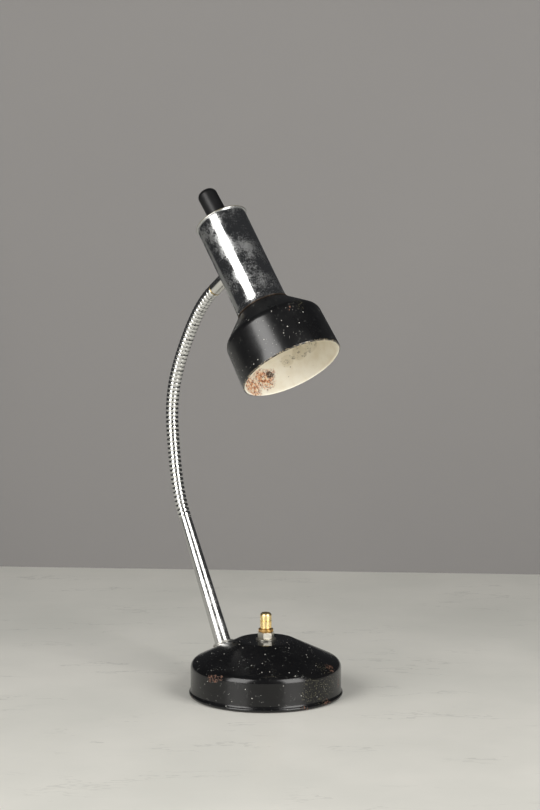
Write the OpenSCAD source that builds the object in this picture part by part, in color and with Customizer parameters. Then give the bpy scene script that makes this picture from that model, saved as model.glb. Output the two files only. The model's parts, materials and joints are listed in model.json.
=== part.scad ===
// Gooseneck desk lamp, in millimetres. +Z is up, +X is the way the lamp faces,
// and the origin is the centre of the base's underside.
// The lamp is symmetrical about the plane XZ, in which the stem leans back and the neck bends forward.

/* [Base] */
// Diameter of the straight drum wall
drum_d = 105.6; // [86:0.2:130]
// Height at which the drum wall turns into the shoulder
drum_h = 19.4; // [16:0.2:26]
// Diameter of the flat disc on top
disc_d = 40; // [34:1:50]
// Slope of the cone, from the horizontal
cone_angle = 25.5; // [20:0.5:28]
// Radius of the shoulder between cone and drum
shoulder_r = 6; // [4:0.5:8]
// Radius of the soft edge round the flat disc
disc_edge_r = 4; // [2:0.5:6]
// Thickness of the base's sheet steel
base_wall = 1.0; // [0.8:0.1:1.4]
// Radius of the foot bead's round section
bead_r = 2.0; // [1.6:0.1:2.4]
// How far the bead stands out of the drum wall
bead_proud = 1.2; // [0.8:0.1:1.5]
// How far the rolled edge turns in under the bottom cover
lip_w = 1.8; // [1.4:0.1:2.4]
// Thickness of the felt pad
felt_t = 1.4; // [1.2:0.1:2]
// Thickness of the bottom cover
cover_t = 1.0; // [0.8:0.1:1.5]
// Free space between the cast weight and the drum wall
weight_gap = 4.8; // [4:0.2:12]
// Height of the cast weight
weight_h = 10; // [6:0.5:11]
// Diameter of the hole in the middle of the weight
weight_hole_d = 26; // [20:1:34]
// Width of the slot that the leads pass in the weight
lead_slot_w = 9; // [8:0.5:14]
// Number of screws that hold cover and weight together
cover_screws_n = 3; // [3:1:6]
// Diameter of these screws
cover_screw_d = 3.8; // [3:0.1:5]
// Diameter of their heads
cover_screw_head_d = 7.4; // [6:0.1:9]

/* [Cord inlet] */
// Bore of the insulating bushing at the back
inlet_bore_d = 6.4; // [6:0.1:8]
// Diameter of the bushing's barrel
inlet_barrel_d = 8.8; // [8.4:0.1:11]
// Diameter of the bushing's two flanges
inlet_flange_d = 11.4; // [11:0.1:13]
// Thickness of each flange
inlet_flange_t = 1.6; // [1.2:0.1:2.2]

/* [Switch] */
// Diameter of the threaded bushing
switch_thread_d = 7.8; // [7:0.1:9]
// Diameter of the turning shaft
switch_shaft_d = 4; // [3:0.1:4.5]
// Diameter of the housing under the disc
switch_body_d = 22; // [20:0.5:26]
// Height of the housing
switch_body_h = 15; // [12:0.5:18]
// Diameter of the washer on the disc
switch_washer_d = 14.2; // [13:0.1:16]
// Thickness of that washer
switch_washer_t = 1.1; // [0.8:0.1:1.5]
// Width across the flats of the hexagon nut
switch_nut_af = 10; // [9.5:0.1:12]
// Height of the hexagon nut
switch_nut_h = 4.7; // [3:0.1:5.5]
// Diameter of the knurled ring nut
switch_ring_d = 10.4; // [9.6:0.1:12]
// Height of the knurled ring nut
switch_ring_h = 2.2; // [1.5:0.1:3]
// Number of grooves round the ring nut
ring_knurls = 30; // [20:2:40]
// Depth of these grooves
knurl_depth = 0.25; // [0.1:0.05:0.3]
// Diameter of the knob
knob_d = 8; // [7:0.1:10]
// Height of the knob
knob_h = 11.2; // [9:0.1:14]
// Number of flutes round the knob
knob_flutes = 10; // [6:1:14]

/* [Stem] */
// Distance of the stem's centre line from the drum wall, where it meets the cone
stem_inset = 8.4; // [8:0.2:16]
// Length of the stem, from the cone to its upper end
stem_len = 97.5; // [80:0.5:120]
// Diameter of the stem at its foot
stem_foot_d = 11.6; // [11:0.1:13]
// Step between the gooseneck's ridges and the stem's upper end
stem_top_step = 0.25; // [0:0.05:0.4]
// Wall of the stem
stem_wall = 0.8; // [0.6:0.1:0.9]
// Diameter of the ring on the cone
stem_ring_d = 15.2; // [14.5:0.1:16.5]
// Height of that ring
stem_ring_h = 2.6; // [2.2:0.1:3.2]
// Diameter of the threaded nipple in the foot
stem_nipple_d = 7.8; // [7:0.1:8.4]
// Width across the flats of the nut inside the base
stem_nut_af = 12.5; // [11.5:0.1:14]
// Height of the nut inside the base
stem_nut_h = 3.6; // [3:0.1:5]

/* [Gooseneck] */
// Diameter over the ridges
neck_d = 9.1; // [8.8:0.1:11]
// Distance from ridge to ridge
ridge_pitch = 3.25; // [3:0.05:3.8]
// Depth of the grooves between the ridges
groove_depth = 0.45; // [0.3:0.05:0.5]
// Bore for the leads
neck_bore_d = 4; // [3:0.1:4.2]
// Wall round the cup in which the next link's ball sits
cup_wall = 1.25; // [1.2:0.05:1.5]
// Ridges on each moving link
link_ridges = 4; // [4:1:5]
// Average bend at each link, in degrees
bend_mean = 5.45; // [4.5:0.05:6.6]
// How much more the neck bends at its ends and middle, in degrees
bend_wave = 3; // [0:0.05:3.2]
// How much the bend grows from link to link, in degrees
bend_growth = 0.18; // [0:0.01:0.2]

/* [Ferrule] */
// How much thicker the ferrule is than the gooseneck, on each side
ferrule_proud = 0.1; // [0:0.05:0.6]
// Length from the neck to the head's seat
ferrule_len = 15.2; // [12.6:0.2:18.4]
// Wall of the ferrule round the gooseneck's end
ferrule_wall = 1.25; // [1:0.05:1.3]
// Length of the brass ring at its lower end
ferrule_ring_h = 1.2; // [1:0.1:1.8]
// Diameter of the swivel nipple
nipple_d = 6; // [5.6:0.1:6.4]
// Width across the flats of the nut on the nipple
nipple_nut_af = 9.6; // [9.2:0.1:10]
// Height of that nut
nipple_nut_h = 2.8; // [2:0.1:3]

/* [Head tube] */
// Diameter of the chrome tube
tube_d = 36; // [34:0.2:43.2]
// Wall of the tube
tube_wall = 0.8; // [0.6:0.1:1]
// How far the rolled rim stands out of the tube
rim_proud = 1.1; // [0.8:0.1:1.3]
// Length of the tube, from rim to shade
tube_len = 74; // [70:1:89]
// Distance from the rim to the swivel
swivel_drop = 35; // [30:1:36]
// Thickness of the saddle between ferrule and tube
saddle_t = 1.8; // [1.4:0.1:2.6]
// How far the saddle stands out past the ferrule
saddle_proud = 0.55; // [0.3:0.05:0.8]
// Depth of the cap below the rim
cap_drop = 1.2; // [0.8:0.1:2]
// Thickness of the cap
cap_t = 1.0; // [0.8:0.1:1.5]

/* [Shade] */
// Diameter where cone and barrel would meet
barrel_d = 70; // [60:0.5:84]
// How much wider the mouth is
mouth_flare = 2.4; // [0:0.2:8]
// Length of the shade along its axis
shade_len = 48.6; // [44:0.2:58.4]
// Length of the cone part
shade_cone_len = 16.4; // [14:0.2:20]
// Radius of the rounding between cone and barrel
shade_round_r = 7; // [4:0.5:8]
// Thickness of the shade's metal
shade_wall = 0.9; // [0.7:0.1:1.2]
// Radius of the rolled hem at the mouth
hem_r = 0.8; // [0.7:0.05:1]
// Length of the collar that plugs into the tube
shade_collar_len = 6; // [4:0.5:8]

/* [Handle] */
// Diameter of the handle
handle_d = 14; // [12:0.5:16]
// Length of the handle above the cap
handle_len = 27; // [24:0.5:34]
// Radius of the rounding at its end
handle_round_r = 4; // [2:0.5:5]
// Lean of the handle against the tube's axis
handle_lean = 5; // [0:0.5:6]
// Diameter of the handle's screw
handle_screw_d = 3.8; // [3:0.1:4]
// Diameter of that screw's head
handle_screw_head_d = 7; // [6:0.1:8]

/* [Socket and bulb] */
// Thickness of the bent strap that holds the socket
strap_t = 1.0; // [0.8:0.1:1.4]
// Width of the strap
strap_w = 10; // [8:0.5:12]
// Free space between the socket's body and the shade's collar
socket_gap = 1.2; // [0.8:0.1:2]
// Length of the socket's body
socket_len = 28; // [25:0.5:30]
// Distance from the swivel to the socket
socket_drop = 8; // [7:0.5:10]
// Diameter of the bulb's screw base
bulb_base_d = 24; // [20:0.2:24.4]
// Length of the bulb's screw base
bulb_base_len = 22; // [20:0.5:24]
// Diameter of the bulb's globe
globe_d = 36; // [32:0.5:38]
// Length of the bulb's glass
glass_len = 35; // [30:0.5:40]

/* [Fits] */
// Gap on each side between a shaft and the hole it turns in
running_fit = 0.06; // [0.02:0.01:0.1]
// Gap on each side between a fixed piece and its hole
fixed_fit = 0.05; // [0.02:0.01:0.15]
// Gap on each side of a loose clearance hole
loose_fit = 0.4; // [0.2:0.1:0.6]
// Gap between pieces that move past each other
move_gap = 0.2; // [0.15:0.05:0.25]
// Half of the open groove between two links
link_gap = 0.65; // [0.6:0.05:0.8]

/* [Hidden] */
NECK_JOINTS = 14;
LINKS = NECK_JOINTS - 1;
$fn = 96;

// Small sizes that no one would set by themselves
SPIGOT_LEN = 8;
SCREW_SINK = 6;
ARC_STEPS = 8;
EDGE = 0.5;
FAR = 400;

CHROME = "gainsboro";
PAINT = [0.13, 0.13, 0.13];
IRON = "dimgray";
STEEL = "silver";
NICKEL = "lightgray";
BRASS = "goldenrod";
PHENOLIC = [0.09, 0.09, 0.09];
FELT = "darkolivegreen";
PORCELAIN = "ivory";
GLASS = "whitesmoke";

function link_name(i) = str("gooseneck_link_", i < 10 ? "0" : "", i);

// Points on an arc from angle a0 to angle a1
function arc(x, y, r, a0, a1, steps = ARC_STEPS) =
    [for (i = [0:steps]) let (a = a0 + (a1 - a0) * i / steps) [x + r * cos(a), y + r * sin(a)]];
function reversed(list) = [for (i = [len(list) - 1:-1:0]) list[i]];

// Base: the meridian is two arcs joined by the cone's straight line
CONE_NORMAL = 90 - cone_angle;
DRUM_R = drum_d / 2;
SHOULDER_X = DRUM_R - shoulder_r;
CONE_END = [SHOULDER_X + shoulder_r * cos(CONE_NORMAL), drum_h + shoulder_r * sin(CONE_NORMAL)];
EDGE_X = disc_d / 2 - disc_edge_r * tan(cone_angle / 2);
EDGE_Z = cone_z(EDGE_X + disc_edge_r * cos(CONE_NORMAL)) - disc_edge_r * sin(CONE_NORMAL);
BASE_H = EDGE_Z + disc_edge_r;
BEAD_X = DRUM_R + bead_proud - bead_r;
BEAD_Z = bead_r + 0.4;
BEAD_ANGLE = acos((DRUM_R - BEAD_X) / bead_r);
LIP_X = DRUM_R - base_wall - lip_w;
FLOOR_Z = felt_t;
COVER_TOP = FLOOR_Z + cover_t;
WEIGHT_R = DRUM_R - base_wall - weight_gap;
SCREW_RING_R = (WEIGHT_R + weight_hole_d / 2) / 2;
INLET_Z = (BEAD_Z + bead_r + drum_h) / 2;
function cone_z(x) = CONE_END[1] + (CONE_END[0] - x) * tan(cone_angle);
function roof(inset) = concat(
    arc(EDGE_X, EDGE_Z, disc_edge_r - inset, 90, CONE_NORMAL),
    arc(SHOULDER_X, drum_h, shoulder_r - inset, CONE_NORMAL, 0)
);

// Switch, stacked on the disc
SWITCH_HOLE_R = switch_thread_d / 2 + fixed_fit;
STAR_T = 0.6;
STAR_R = switch_thread_d / 2 + 2.4;
HOUSING_TOP = BASE_H - base_wall - STAR_T;
NUT_Z = BASE_H + switch_washer_t;
RING_NUT_Z = NUT_Z + switch_nut_h;
BUSHING_TOP = RING_NUT_Z + switch_ring_h;
KNOB_Z = BUSHING_TOP + move_gap;
KNOB_BORE = 0.6 * knob_h;
THREAD_IN = 2;
SHAFT_END = 2;

// Stem: square to the cone
STEM_R = DRUM_R - stem_inset;
STEM_FOOT = [-STEM_R, 0, cone_z(STEM_R)];
STEM_LEAN = -cone_angle;
STEM_HOLE_R = stem_nipple_d / 2 + loose_fit;
WASHER_T = 1.0;
STEM_WASHER_R = stem_nut_af / 2 + 0.6;
// A flat washer stands off the hollow cone by the height of the arc under it
CONE_SAG = pow(STEM_WASHER_R, 2) * sin(cone_angle) / STEM_R / 2;
STEM_NUT_Z = -base_wall - CONE_SAG - fixed_fit - WASHER_T;
STEM_TOP_R = neck_d / 2 - stem_top_step;
PLUG_LEN = 6;
function stem_r_at(z) = stem_foot_d / 2
    + (STEM_TOP_R - stem_foot_d / 2) * (z - stem_ring_h) / (stem_len - stem_ring_h);
// The plug is turned to pass the tube's bore at its upper end
PLUG_R = stem_r_at(stem_ring_h + PLUG_LEN) - stem_wall - 2 * fixed_fit;

// Gooseneck: each joint adds its bend to the lean of the link below it
NECK_R = neck_d / 2;
BALL_R = NECK_R - cup_wall - move_gap;
LINK_LEN = link_ridges * ridge_pitch;
END_RIDGES = 2;
END_LEN = END_RIDGES * ridge_pitch;
BEND_AT = [for (k = [0:NECK_JOINTS - 1])
    bend_mean + bend_wave * cos(720 * k / LINKS) + bend_growth * (k - LINKS / 2)];
function lean(i) = STEM_LEAN + (i == 0 ? 0 : sum_to(BEND_AT, i - 1));
function sum_to(list, last) = last < 0 ? 0 : list[last] + sum_to(list, last - 1);
function along(angle, d) = [d * sin(angle), 0, d * cos(angle)];
STEM_TOP = STEM_FOOT + along(STEM_LEAN, stem_len);
function joint_at(k) = k == 0
    ? STEM_TOP + along(STEM_LEAN, END_LEN)
    : joint_at(k - 1) + along(lean(k), LINK_LEN);
NECK_END_LEAN = lean(NECK_JOINTS);
NECK_END = joint_at(LINKS) + along(NECK_END_LEAN, END_LEN);

// Head: its own frame has Z up the tube and X along the ferrule, with the swivel's centre line on X
TUBE_R = tube_d / 2;
TUBE_IN = TUBE_R - tube_wall;
RIM_R = TUBE_R + rim_proud;
FERRULE_R = NECK_R + ferrule_proud;
FERRULE_IN = FERRULE_R - ferrule_wall;
SADDLE_R = FERRULE_R + saddle_proud;
SWIVEL_X = -TUBE_R - saddle_t;
HEAD_AT = NECK_END + along(NECK_END_LEAN, ferrule_len - SWIVEL_X);
RIM_Z = swivel_drop;
TUBE_END_Z = swivel_drop - tube_len;
CAP_Z = RIM_Z - cap_drop;
MOUTH_R = (barrel_d + mouth_flare) / 2;
MOUTH_Z = TUBE_END_Z - shade_len;
COLLAR_R = TUBE_IN - fixed_fit;
SADDLE_IN = TUBE_IN - 1.4;
THRUST_T = 0.8;
SWIVEL_NUT_X = -SADDLE_IN + THRUST_T;
NIPPLE_END_X = SWIVEL_NUT_X + nipple_nut_h + 0.6;
CAP_SKIRT = 1;
STRAP_X = sqrt(pow(COLLAR_R - CAP_SKIRT - loose_fit, 2) - pow(strap_w / 2, 2));
SOCKET_R = COLLAR_R - shade_wall - socket_gap;
SOCKET_TOP = -socket_drop;
SOCKET_END = SOCKET_TOP - socket_len;
SOCKET_ROOF = 6.4;
CONTACT_T = 0.6;
SHELL_R = bulb_base_d / 2 + loose_fit;
SHELL_T = 0.5;
BULB_TOP = SOCKET_TOP - SOCKET_ROOF - CONTACT_T;
BULB_SEAM = BULB_TOP - bulb_base_len;
GLOBE_Z = BULB_SEAM - glass_len + globe_d / 2;
TERMINAL_Y = SOCKET_R - 4.5;
TERMINAL_R = 1.3;
SOCKET_SCREW_R = 1.6;
module on_stem() {
    translate(STEM_FOOT) rotate([0, STEM_LEAN, 0]) children();
}
module on_link(i) {
    translate(joint_at(i - 1)) rotate([0, lean(i), 0]) children();
}
module on_neck_end() {
    translate(NECK_END) rotate([0, NECK_END_LEAN, 0]) children();
}
module on_head() {
    translate(HEAD_AT) rotate([0, NECK_END_LEAN - 90, 0]) children();
}
// Turns a part that is modelled along +Z to lie along the head's +X
module along_swivel(x) {
    translate([x, 0, 0]) rotate([0, 90, 0]) children();
}
// A ring with soft edges: outer radius, bore radius, height
module ring(r, bore, h, edge = 0.3) {
    rotate_extrude() polygon([
        [bore, 0], [r - edge, 0], [r, edge], [r, h - edge], [r - edge, h], [bore, h]
    ]);
}
module hex_nut(af, bore, h) {
    corner = af / cos(30) / 2;
    face_r = af / 2 - 0.15;
    rise = (corner - face_r) * tan(30);
    difference() {
        intersection() {
            cylinder(r = corner, h = h, $fn = 6);
            rotate_extrude() polygon([
                [0, 0], [face_r, 0], [corner, rise], [corner, h - rise], [face_r, h], [0, h]
            ]);
        }
        translate([0, 0, -1]) cylinder(r = bore, h = h + 2);
    }
}
// A screw along +Z: the head is below z = 0 and the shank above it
module screw(d, head_d, head_h, len) {
    union() {
        cylinder(d = d, h = len);
        translate([0, 0, -head_h]) cylinder(d = head_d, h = head_h);
    }
}

// Base
module base_shell() {
    color(PAINT) difference() {
        rotate_extrude() polygon(concat(
            [[SWITCH_HOLE_R, BASE_H]],
            roof(0),
            arc(BEAD_X, BEAD_Z, bead_r, BEAD_ANGLE, -90),
            [[LIP_X, BEAD_Z - bead_r], [LIP_X, FLOOR_Z], [DRUM_R - base_wall, FLOOR_Z]],
            reversed(roof(base_wall)),
            [[SWITCH_HOLE_R, BASE_H - base_wall]]
        ));
        on_stem() translate([0, 0, -5]) cylinder(r = STEM_HOLE_R, h = 10);
        translate([-DRUM_R - 5, 0, INLET_Z]) rotate([0, 90, 0])
            cylinder(r = inlet_barrel_d / 2 + fixed_fit, h = 10);
    }
}
module at_cover_screws() {
    for (i = [0:cover_screws_n - 1])
        rotate([0, 0, 360 * i / cover_screws_n]) translate([SCREW_RING_R, 0, 0]) children();
}
module base_weight() {
    color(IRON) translate([0, 0, COVER_TOP]) difference() {
        ring(WEIGHT_R, weight_hole_d / 2, weight_h, 1.5);
        translate([-DRUM_R, -lead_slot_w / 2, -1]) cube([DRUM_R, lead_slot_w, weight_h + 2]);
        at_cover_screws() translate([0, 0, -1]) cylinder(d = cover_screw_d + 2 * fixed_fit, h = SCREW_SINK + 2);
    }
}
module bottom_cover() {
    color(STEEL) translate([0, 0, FLOOR_Z]) difference() {
        cylinder(r = DRUM_R - base_wall - loose_fit, h = cover_t);
        at_cover_screws() translate([0, 0, -1]) cylinder(d = cover_screw_d + loose_fit, h = cover_t + 2);
    }
}
module felt_pad() {
    color(FELT) difference() {
        cylinder(r = LIP_X - loose_fit, h = felt_t);
        at_cover_screws() translate([0, 0, -1]) cylinder(d = cover_screw_head_d + 2 * loose_fit, h = felt_t + 2);
    }
}
module cover_screws() {
    color(STEEL) at_cover_screws() translate([0, 0, FLOOR_Z])
        screw(cover_screw_d, cover_screw_head_d, felt_t - 0.3, cover_t + SCREW_SINK);
}
module cord_bushing() {
    sag = DRUM_R - base_wall - sqrt(pow(DRUM_R - base_wall, 2) - pow(inlet_flange_d / 2, 2));
    outer = DRUM_R + fixed_fit;
    inner = DRUM_R - base_wall - sag - fixed_fit;
    color(PHENOLIC) translate([0, 0, INLET_Z]) rotate([0, -90, 0]) rotate_extrude() polygon([
        [inlet_bore_d / 2, inner - inlet_flange_t], [inlet_flange_d / 2, inner - inlet_flange_t],
        [inlet_flange_d / 2, inner], [inlet_barrel_d / 2, inner],
        [inlet_barrel_d / 2, outer], [inlet_flange_d / 2, outer],
        [inlet_flange_d / 2, outer + inlet_flange_t - EDGE], [inlet_flange_d / 2 - EDGE, outer + inlet_flange_t],
        [inlet_bore_d / 2, outer + inlet_flange_t]
    ]);
}

// Switch
module switch_body() {
    color(PHENOLIC) translate([0, 0, HOUSING_TOP - switch_body_h]) difference() {
        ring(switch_body_d / 2, 0, switch_body_h, 1.5);
        translate([0, 0, SHAFT_END]) cylinder(r = switch_shaft_d / 2 + running_fit, h = switch_body_h);
        translate([0, 0, switch_body_h - THREAD_IN]) cylinder(r = switch_thread_d / 2 + fixed_fit, h = THREAD_IN + 1);
    }
}
module switch_bushing() {
    bottom = HOUSING_TOP - THREAD_IN + fixed_fit;
    color(BRASS) translate([0, 0, bottom])
        ring(switch_thread_d / 2, switch_shaft_d / 2 + running_fit, BUSHING_TOP - bottom);
}
module switch_star_washer() {
    color(STEEL) translate([0, 0, HOUSING_TOP]) ring(STAR_R, SWITCH_HOLE_R, STAR_T, 0.1);
}
module switch_washer() {
    color(NICKEL) translate([0, 0, BASE_H]) ring(switch_washer_d / 2, SWITCH_HOLE_R, switch_washer_t);
}
module switch_nut() {
    color(NICKEL) translate([0, 0, NUT_Z]) hex_nut(switch_nut_af, SWITCH_HOLE_R, switch_nut_h);
}
module switch_ring_nut() {
    r = switch_ring_d / 2;
    color(BRASS) translate([0, 0, RING_NUT_Z]) difference() {
        ring(r, SWITCH_HOLE_R, switch_ring_h, 0.4);
        for (i = [0:ring_knurls - 1]) rotate([0, 0, 360 * i / ring_knurls])
            translate([r, 0, -1]) cylinder(r = knurl_depth, h = switch_ring_h + 2, $fn = 4);
    }
}
module switch_shaft() {
    bottom = HOUSING_TOP - switch_body_h + SHAFT_END + move_gap;
    color(STEEL) translate([0, 0, bottom]) cylinder(d = switch_shaft_d, h = KNOB_Z + KNOB_BORE - bottom);
}
module switch_knob() {
    r = knob_d / 2;
    flute_r = 0.55;
    groove = 0.25;
    notch = 0.8;
    dome = 0.6 * r;
    color(BRASS) translate([0, 0, KNOB_Z]) difference() {
        rotate_extrude() polygon(concat(
            [[0, 0], [r - groove, 0], [r, groove]],
            [[r, knob_h / 2 - groove], [r - groove, knob_h / 2], [r, knob_h / 2 + groove]],
            arc(r - dome, knob_h - dome, dome, 0, 70),
            [[0, knob_h]]
        ));
        translate([0, 0, -1]) cylinder(r = switch_shaft_d / 2 + fixed_fit, h = KNOB_BORE + 1 + fixed_fit);
        // Long flutes below the groove, short notches above it
        for (i = [0:knob_flutes - 1]) rotate([0, 0, 360 * i / knob_flutes]) {
            translate([r + groove, 0, -1]) cylinder(r = flute_r, h = knob_h / 2);
            translate([r + groove, 0, knob_h / 2 + 2 * groove]) cylinder(r = flute_r, h = notch);
        }
    }
}

// Stem
module stem_ring() {
    color(CHROME) on_stem() difference() {
        rotate_extrude() polygon(concat(
            [[stem_nipple_d / 2 + fixed_fit, -1], [stem_ring_d / 2 - 0.6, -1]],
            arc(stem_ring_d / 2 - 0.9, stem_ring_h / 2, 0.9, -60, 80),
            [[stem_foot_d / 2, stem_ring_h], [stem_nipple_d / 2 + fixed_fit, stem_ring_h]]
        ));
        rotate([0, -STEM_LEAN, 0]) translate(-STEM_FOOT)
            rotate_extrude() polygon(concat([[0, 0], [0, BASE_H + fixed_fit]], roof(-fixed_fit), [[DRUM_R, 0]]));
    }
}
module stem_tube() {
    color(CHROME) on_stem() rotate_extrude() polygon([
        [stem_foot_d / 2 - stem_wall, stem_ring_h], [stem_foot_d / 2, stem_ring_h],
        [STEM_TOP_R, stem_len], [STEM_TOP_R - stem_wall, stem_len]
    ]);
}
module stem_plug() {
    color(BRASS) on_stem() translate([0, 0, stem_ring_h])
        ring(PLUG_R, stem_nipple_d / 2 + fixed_fit, PLUG_LEN, 0.2);
}
module stem_nipple() {
    bottom = STEM_NUT_Z - stem_nut_h - 1.5;
    color(STEEL) on_stem() translate([0, 0, bottom])
        ring(stem_nipple_d / 2, stem_nipple_d / 2 - 1.2, stem_ring_h + PLUG_LEN + 1 - bottom, 0.3);
}
module stem_washer() {
    color(STEEL) on_stem() translate([0, 0, STEM_NUT_Z])
        ring(STEM_WASHER_R, stem_nipple_d / 2 + fixed_fit, WASHER_T, 0.2);
}
module stem_nut() {
    color(STEEL) on_stem() translate([0, 0, STEM_NUT_Z - stem_nut_h])
        hex_nut(stem_nut_af, stem_nipple_d / 2 + fixed_fit, stem_nut_h);
}

// Gooseneck
// One rigid length of the hose. The lower joint is at z = 0 and the upper one at z = ridges * ridge_pitch.
// A cup is the hollow that takes the ball of the length below; a ball stands up into the length above.
module hose(ridges, cup, ball) {
    top = ridges * ridge_pitch;
    crest = NECK_R;
    valley = NECK_R - groove_depth;
    face = NECK_R - 0.65;
    module body() {
        rotate_extrude() polygon(concat(
            [[0, cup ? link_gap : 0], [cup ? face : valley, cup ? link_gap : 0]],
            [for (i = [0:ridges - 1]) each [
                if (i > 0) [valley, i * ridge_pitch],
                [crest - 0.12, i * ridge_pitch + 0.85],
                [crest, i * ridge_pitch + 1.25],
                [crest, (i + 1) * ridge_pitch - 1.25],
                [crest - 0.12, (i + 1) * ridge_pitch - 0.85]
            ]],
            [[ball ? face : valley, ball ? top - link_gap : top], [0, ball ? top - link_gap : top]]
        ));
    }
    difference() {
        union() {
            body();
            if (ball) translate([0, 0, top]) intersection() {
                sphere(r = BALL_R);
                translate([0, 0, -BALL_R]) cylinder(r = BALL_R + 1, h = BALL_R + 0.58 * BALL_R);
            }
        }
        if (cup) sphere(r = BALL_R + move_gap);
        translate([0, 0, -1]) cylinder(d = neck_bore_d, h = top + BALL_R + 2);
    }
}
module spigot(r, h) {
    difference() {
        cylinder(r = r, h = h);
        translate([0, 0, -1]) cylinder(d = neck_bore_d, h = h + 2);
    }
}
module gooseneck_foot() {
    r = STEM_TOP_R - stem_wall - 2 * fixed_fit;
    color(CHROME) on_stem() translate([0, 0, stem_len]) union() {
        hose(END_RIDGES, false, true);
        translate([0, 0, -SPIGOT_LEN]) spigot(r, SPIGOT_LEN);
    }
}
module gooseneck_link(i) {
    color(CHROME) on_link(i) hose(link_ridges, true, true);
}
module gooseneck_end() {
    color(CHROME) on_link(NECK_JOINTS) union() {
        hose(END_RIDGES, true, false);
        translate([0, 0, END_LEN]) spigot(FERRULE_IN - fixed_fit, SPIGOT_LEN - 3);
    }
}

// Ferrule and swivel
module ferrule_ring() {
    color(BRASS) on_neck_end() ring(FERRULE_R + 0.1, FERRULE_IN, ferrule_ring_h, 0.3);
}
module ferrule() {
    color(CHROME) on_neck_end() difference() {
        translate([0, 0, ferrule_ring_h]) cylinder(r = FERRULE_R, h = ferrule_len - ferrule_ring_h - running_fit);
        cylinder(r = FERRULE_IN, h = SPIGOT_LEN - 2);
        cylinder(r = nipple_d / 2 + fixed_fit, h = ferrule_len + 1);
    }
}
module swivel_nipple() {
    start = SWIVEL_X - ferrule_len + SPIGOT_LEN - 2;
    color(STEEL) on_head() along_swivel(start) ring(nipple_d / 2, neck_bore_d / 2, NIPPLE_END_X - start, 0.2);
}
module swivel_nut() {
    color(BRASS) on_head() along_swivel(SWIVEL_NUT_X) hex_nut(nipple_nut_af, nipple_d / 2 + fixed_fit, nipple_nut_h);
}
module thrust_washer() {
    color(STEEL) on_head() along_swivel(-SADDLE_IN + running_fit)
        ring(nipple_nut_af / 2, nipple_d / 2 + fixed_fit, THRUST_T - running_fit, 0.1);
}
module saddle_seat() {
    color(CHROME) on_head() difference() {
        along_swivel(SWIVEL_X) cylinder(r = SADDLE_R, h = saddle_t + 2);
        along_swivel(SWIVEL_X - 1) cylinder(r = nipple_d / 2 + running_fit, h = saddle_t + 4);
        translate([0, 0, -2 * SADDLE_R]) cylinder(r = TUBE_R + fixed_fit, h = 4 * SADDLE_R);
    }
}
module saddle_washer() {
    color(STEEL) on_head() intersection() {
        difference() {
            along_swivel(-TUBE_R) cylinder(r = SADDLE_R, h = TUBE_R - SADDLE_IN);
            along_swivel(-TUBE_R - 1) cylinder(r = nipple_d / 2 + running_fit, h = TUBE_R);
        }
        translate([0, 0, -2 * SADDLE_R]) cylinder(r = TUBE_IN - fixed_fit, h = 4 * SADDLE_R);
    }
}

// Head
module head_tube() {
    roll = 1.3;
    color(CHROME) on_head() difference() {
        rotate_extrude() polygon(concat(
            [[TUBE_IN, TUBE_END_Z], [TUBE_R, TUBE_END_Z], [TUBE_R, RIM_Z - 2 * roll - 0.6]],
            arc(RIM_R - roll, RIM_Z - roll, roll, -40, 140),
            [[TUBE_IN, RIM_Z - 0.6]]
        ));
        along_swivel(-TUBE_R - 5) cylinder(r = nipple_d / 2 + running_fit, h = 10);
    }
}
module head_cap() {
    hole = handle_screw_d / 2 + loose_fit;
    color(STEEL) on_head() rotate_extrude() polygon([
        [hole, CAP_Z - cap_t], [COLLAR_R - CAP_SKIRT, CAP_Z - cap_t], [COLLAR_R - CAP_SKIRT, CAP_Z - 5],
        [COLLAR_R, CAP_Z - 5], [COLLAR_R, CAP_Z - EDGE], [COLLAR_R - EDGE, CAP_Z], [hole, CAP_Z]
    ]);
}
module on_handle() {
    on_head() translate([0, 0, CAP_Z]) rotate([0, -handle_lean, 0]) children();
}
module handle() {
    r = handle_d / 2;
    color(PHENOLIC) difference() {
        on_handle() rotate_extrude() polygon(concat(
            [[0, -2], [r, -2]],
            arc(r - handle_round_r, handle_len - handle_round_r, handle_round_r, 0, 90),
            [[0, handle_len]]
        ));
        on_head() translate([-FAR / 2, -FAR / 2, CAP_Z + fixed_fit - FAR]) cube([FAR, FAR, FAR]);
        on_handle() translate([0, 0, -3]) cylinder(d = handle_screw_d + 2 * fixed_fit, h = 3 + handle_len * 0.6);
    }
}
module handle_screw() {
    seat = -cap_t - strap_t - 0.35;
    color(STEEL) on_handle() translate([0, 0, seat])
        screw(handle_screw_d, handle_screw_head_d, 2.2, handle_len * 0.55 - seat);
}

// Socket and bulb
// A strap bent twice: one flange is under the cap, the other on the socket
module socket_bracket() {
    top = CAP_Z - cap_t;
    reach = 5;
    module bend(z) translate([-reach, z]) square([STRAP_X + reach, strap_t]);
    color(STEEL) on_head() difference() {
        rotate([90, 0, 0]) translate([0, 0, -strap_w / 2]) linear_extrude(strap_w) union() {
            bend(top - strap_t);
            bend(SOCKET_TOP);
            translate([STRAP_X - strap_t, SOCKET_TOP]) square([strap_t, top - SOCKET_TOP]);
        }
        translate([0, 0, top - strap_t - 1]) cylinder(r = handle_screw_d / 2 + loose_fit, h = strap_t + 2);
        translate([0, 0, SOCKET_TOP - 1]) cylinder(r = SOCKET_SCREW_R + fixed_fit, h = strap_t + 2);
    }
}
module socket_screw() {
    color(STEEL) on_head() translate([0, 0, SOCKET_TOP + strap_t]) rotate([180, 0, 0])
        screw(2 * SOCKET_SCREW_R, 6, 1.8, 5);
}
module at_terminals() {
    for (side = [-1, 1]) translate([0, side * TERMINAL_Y, SOCKET_TOP]) rotate([180, 0, 0]) children();
}
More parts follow.
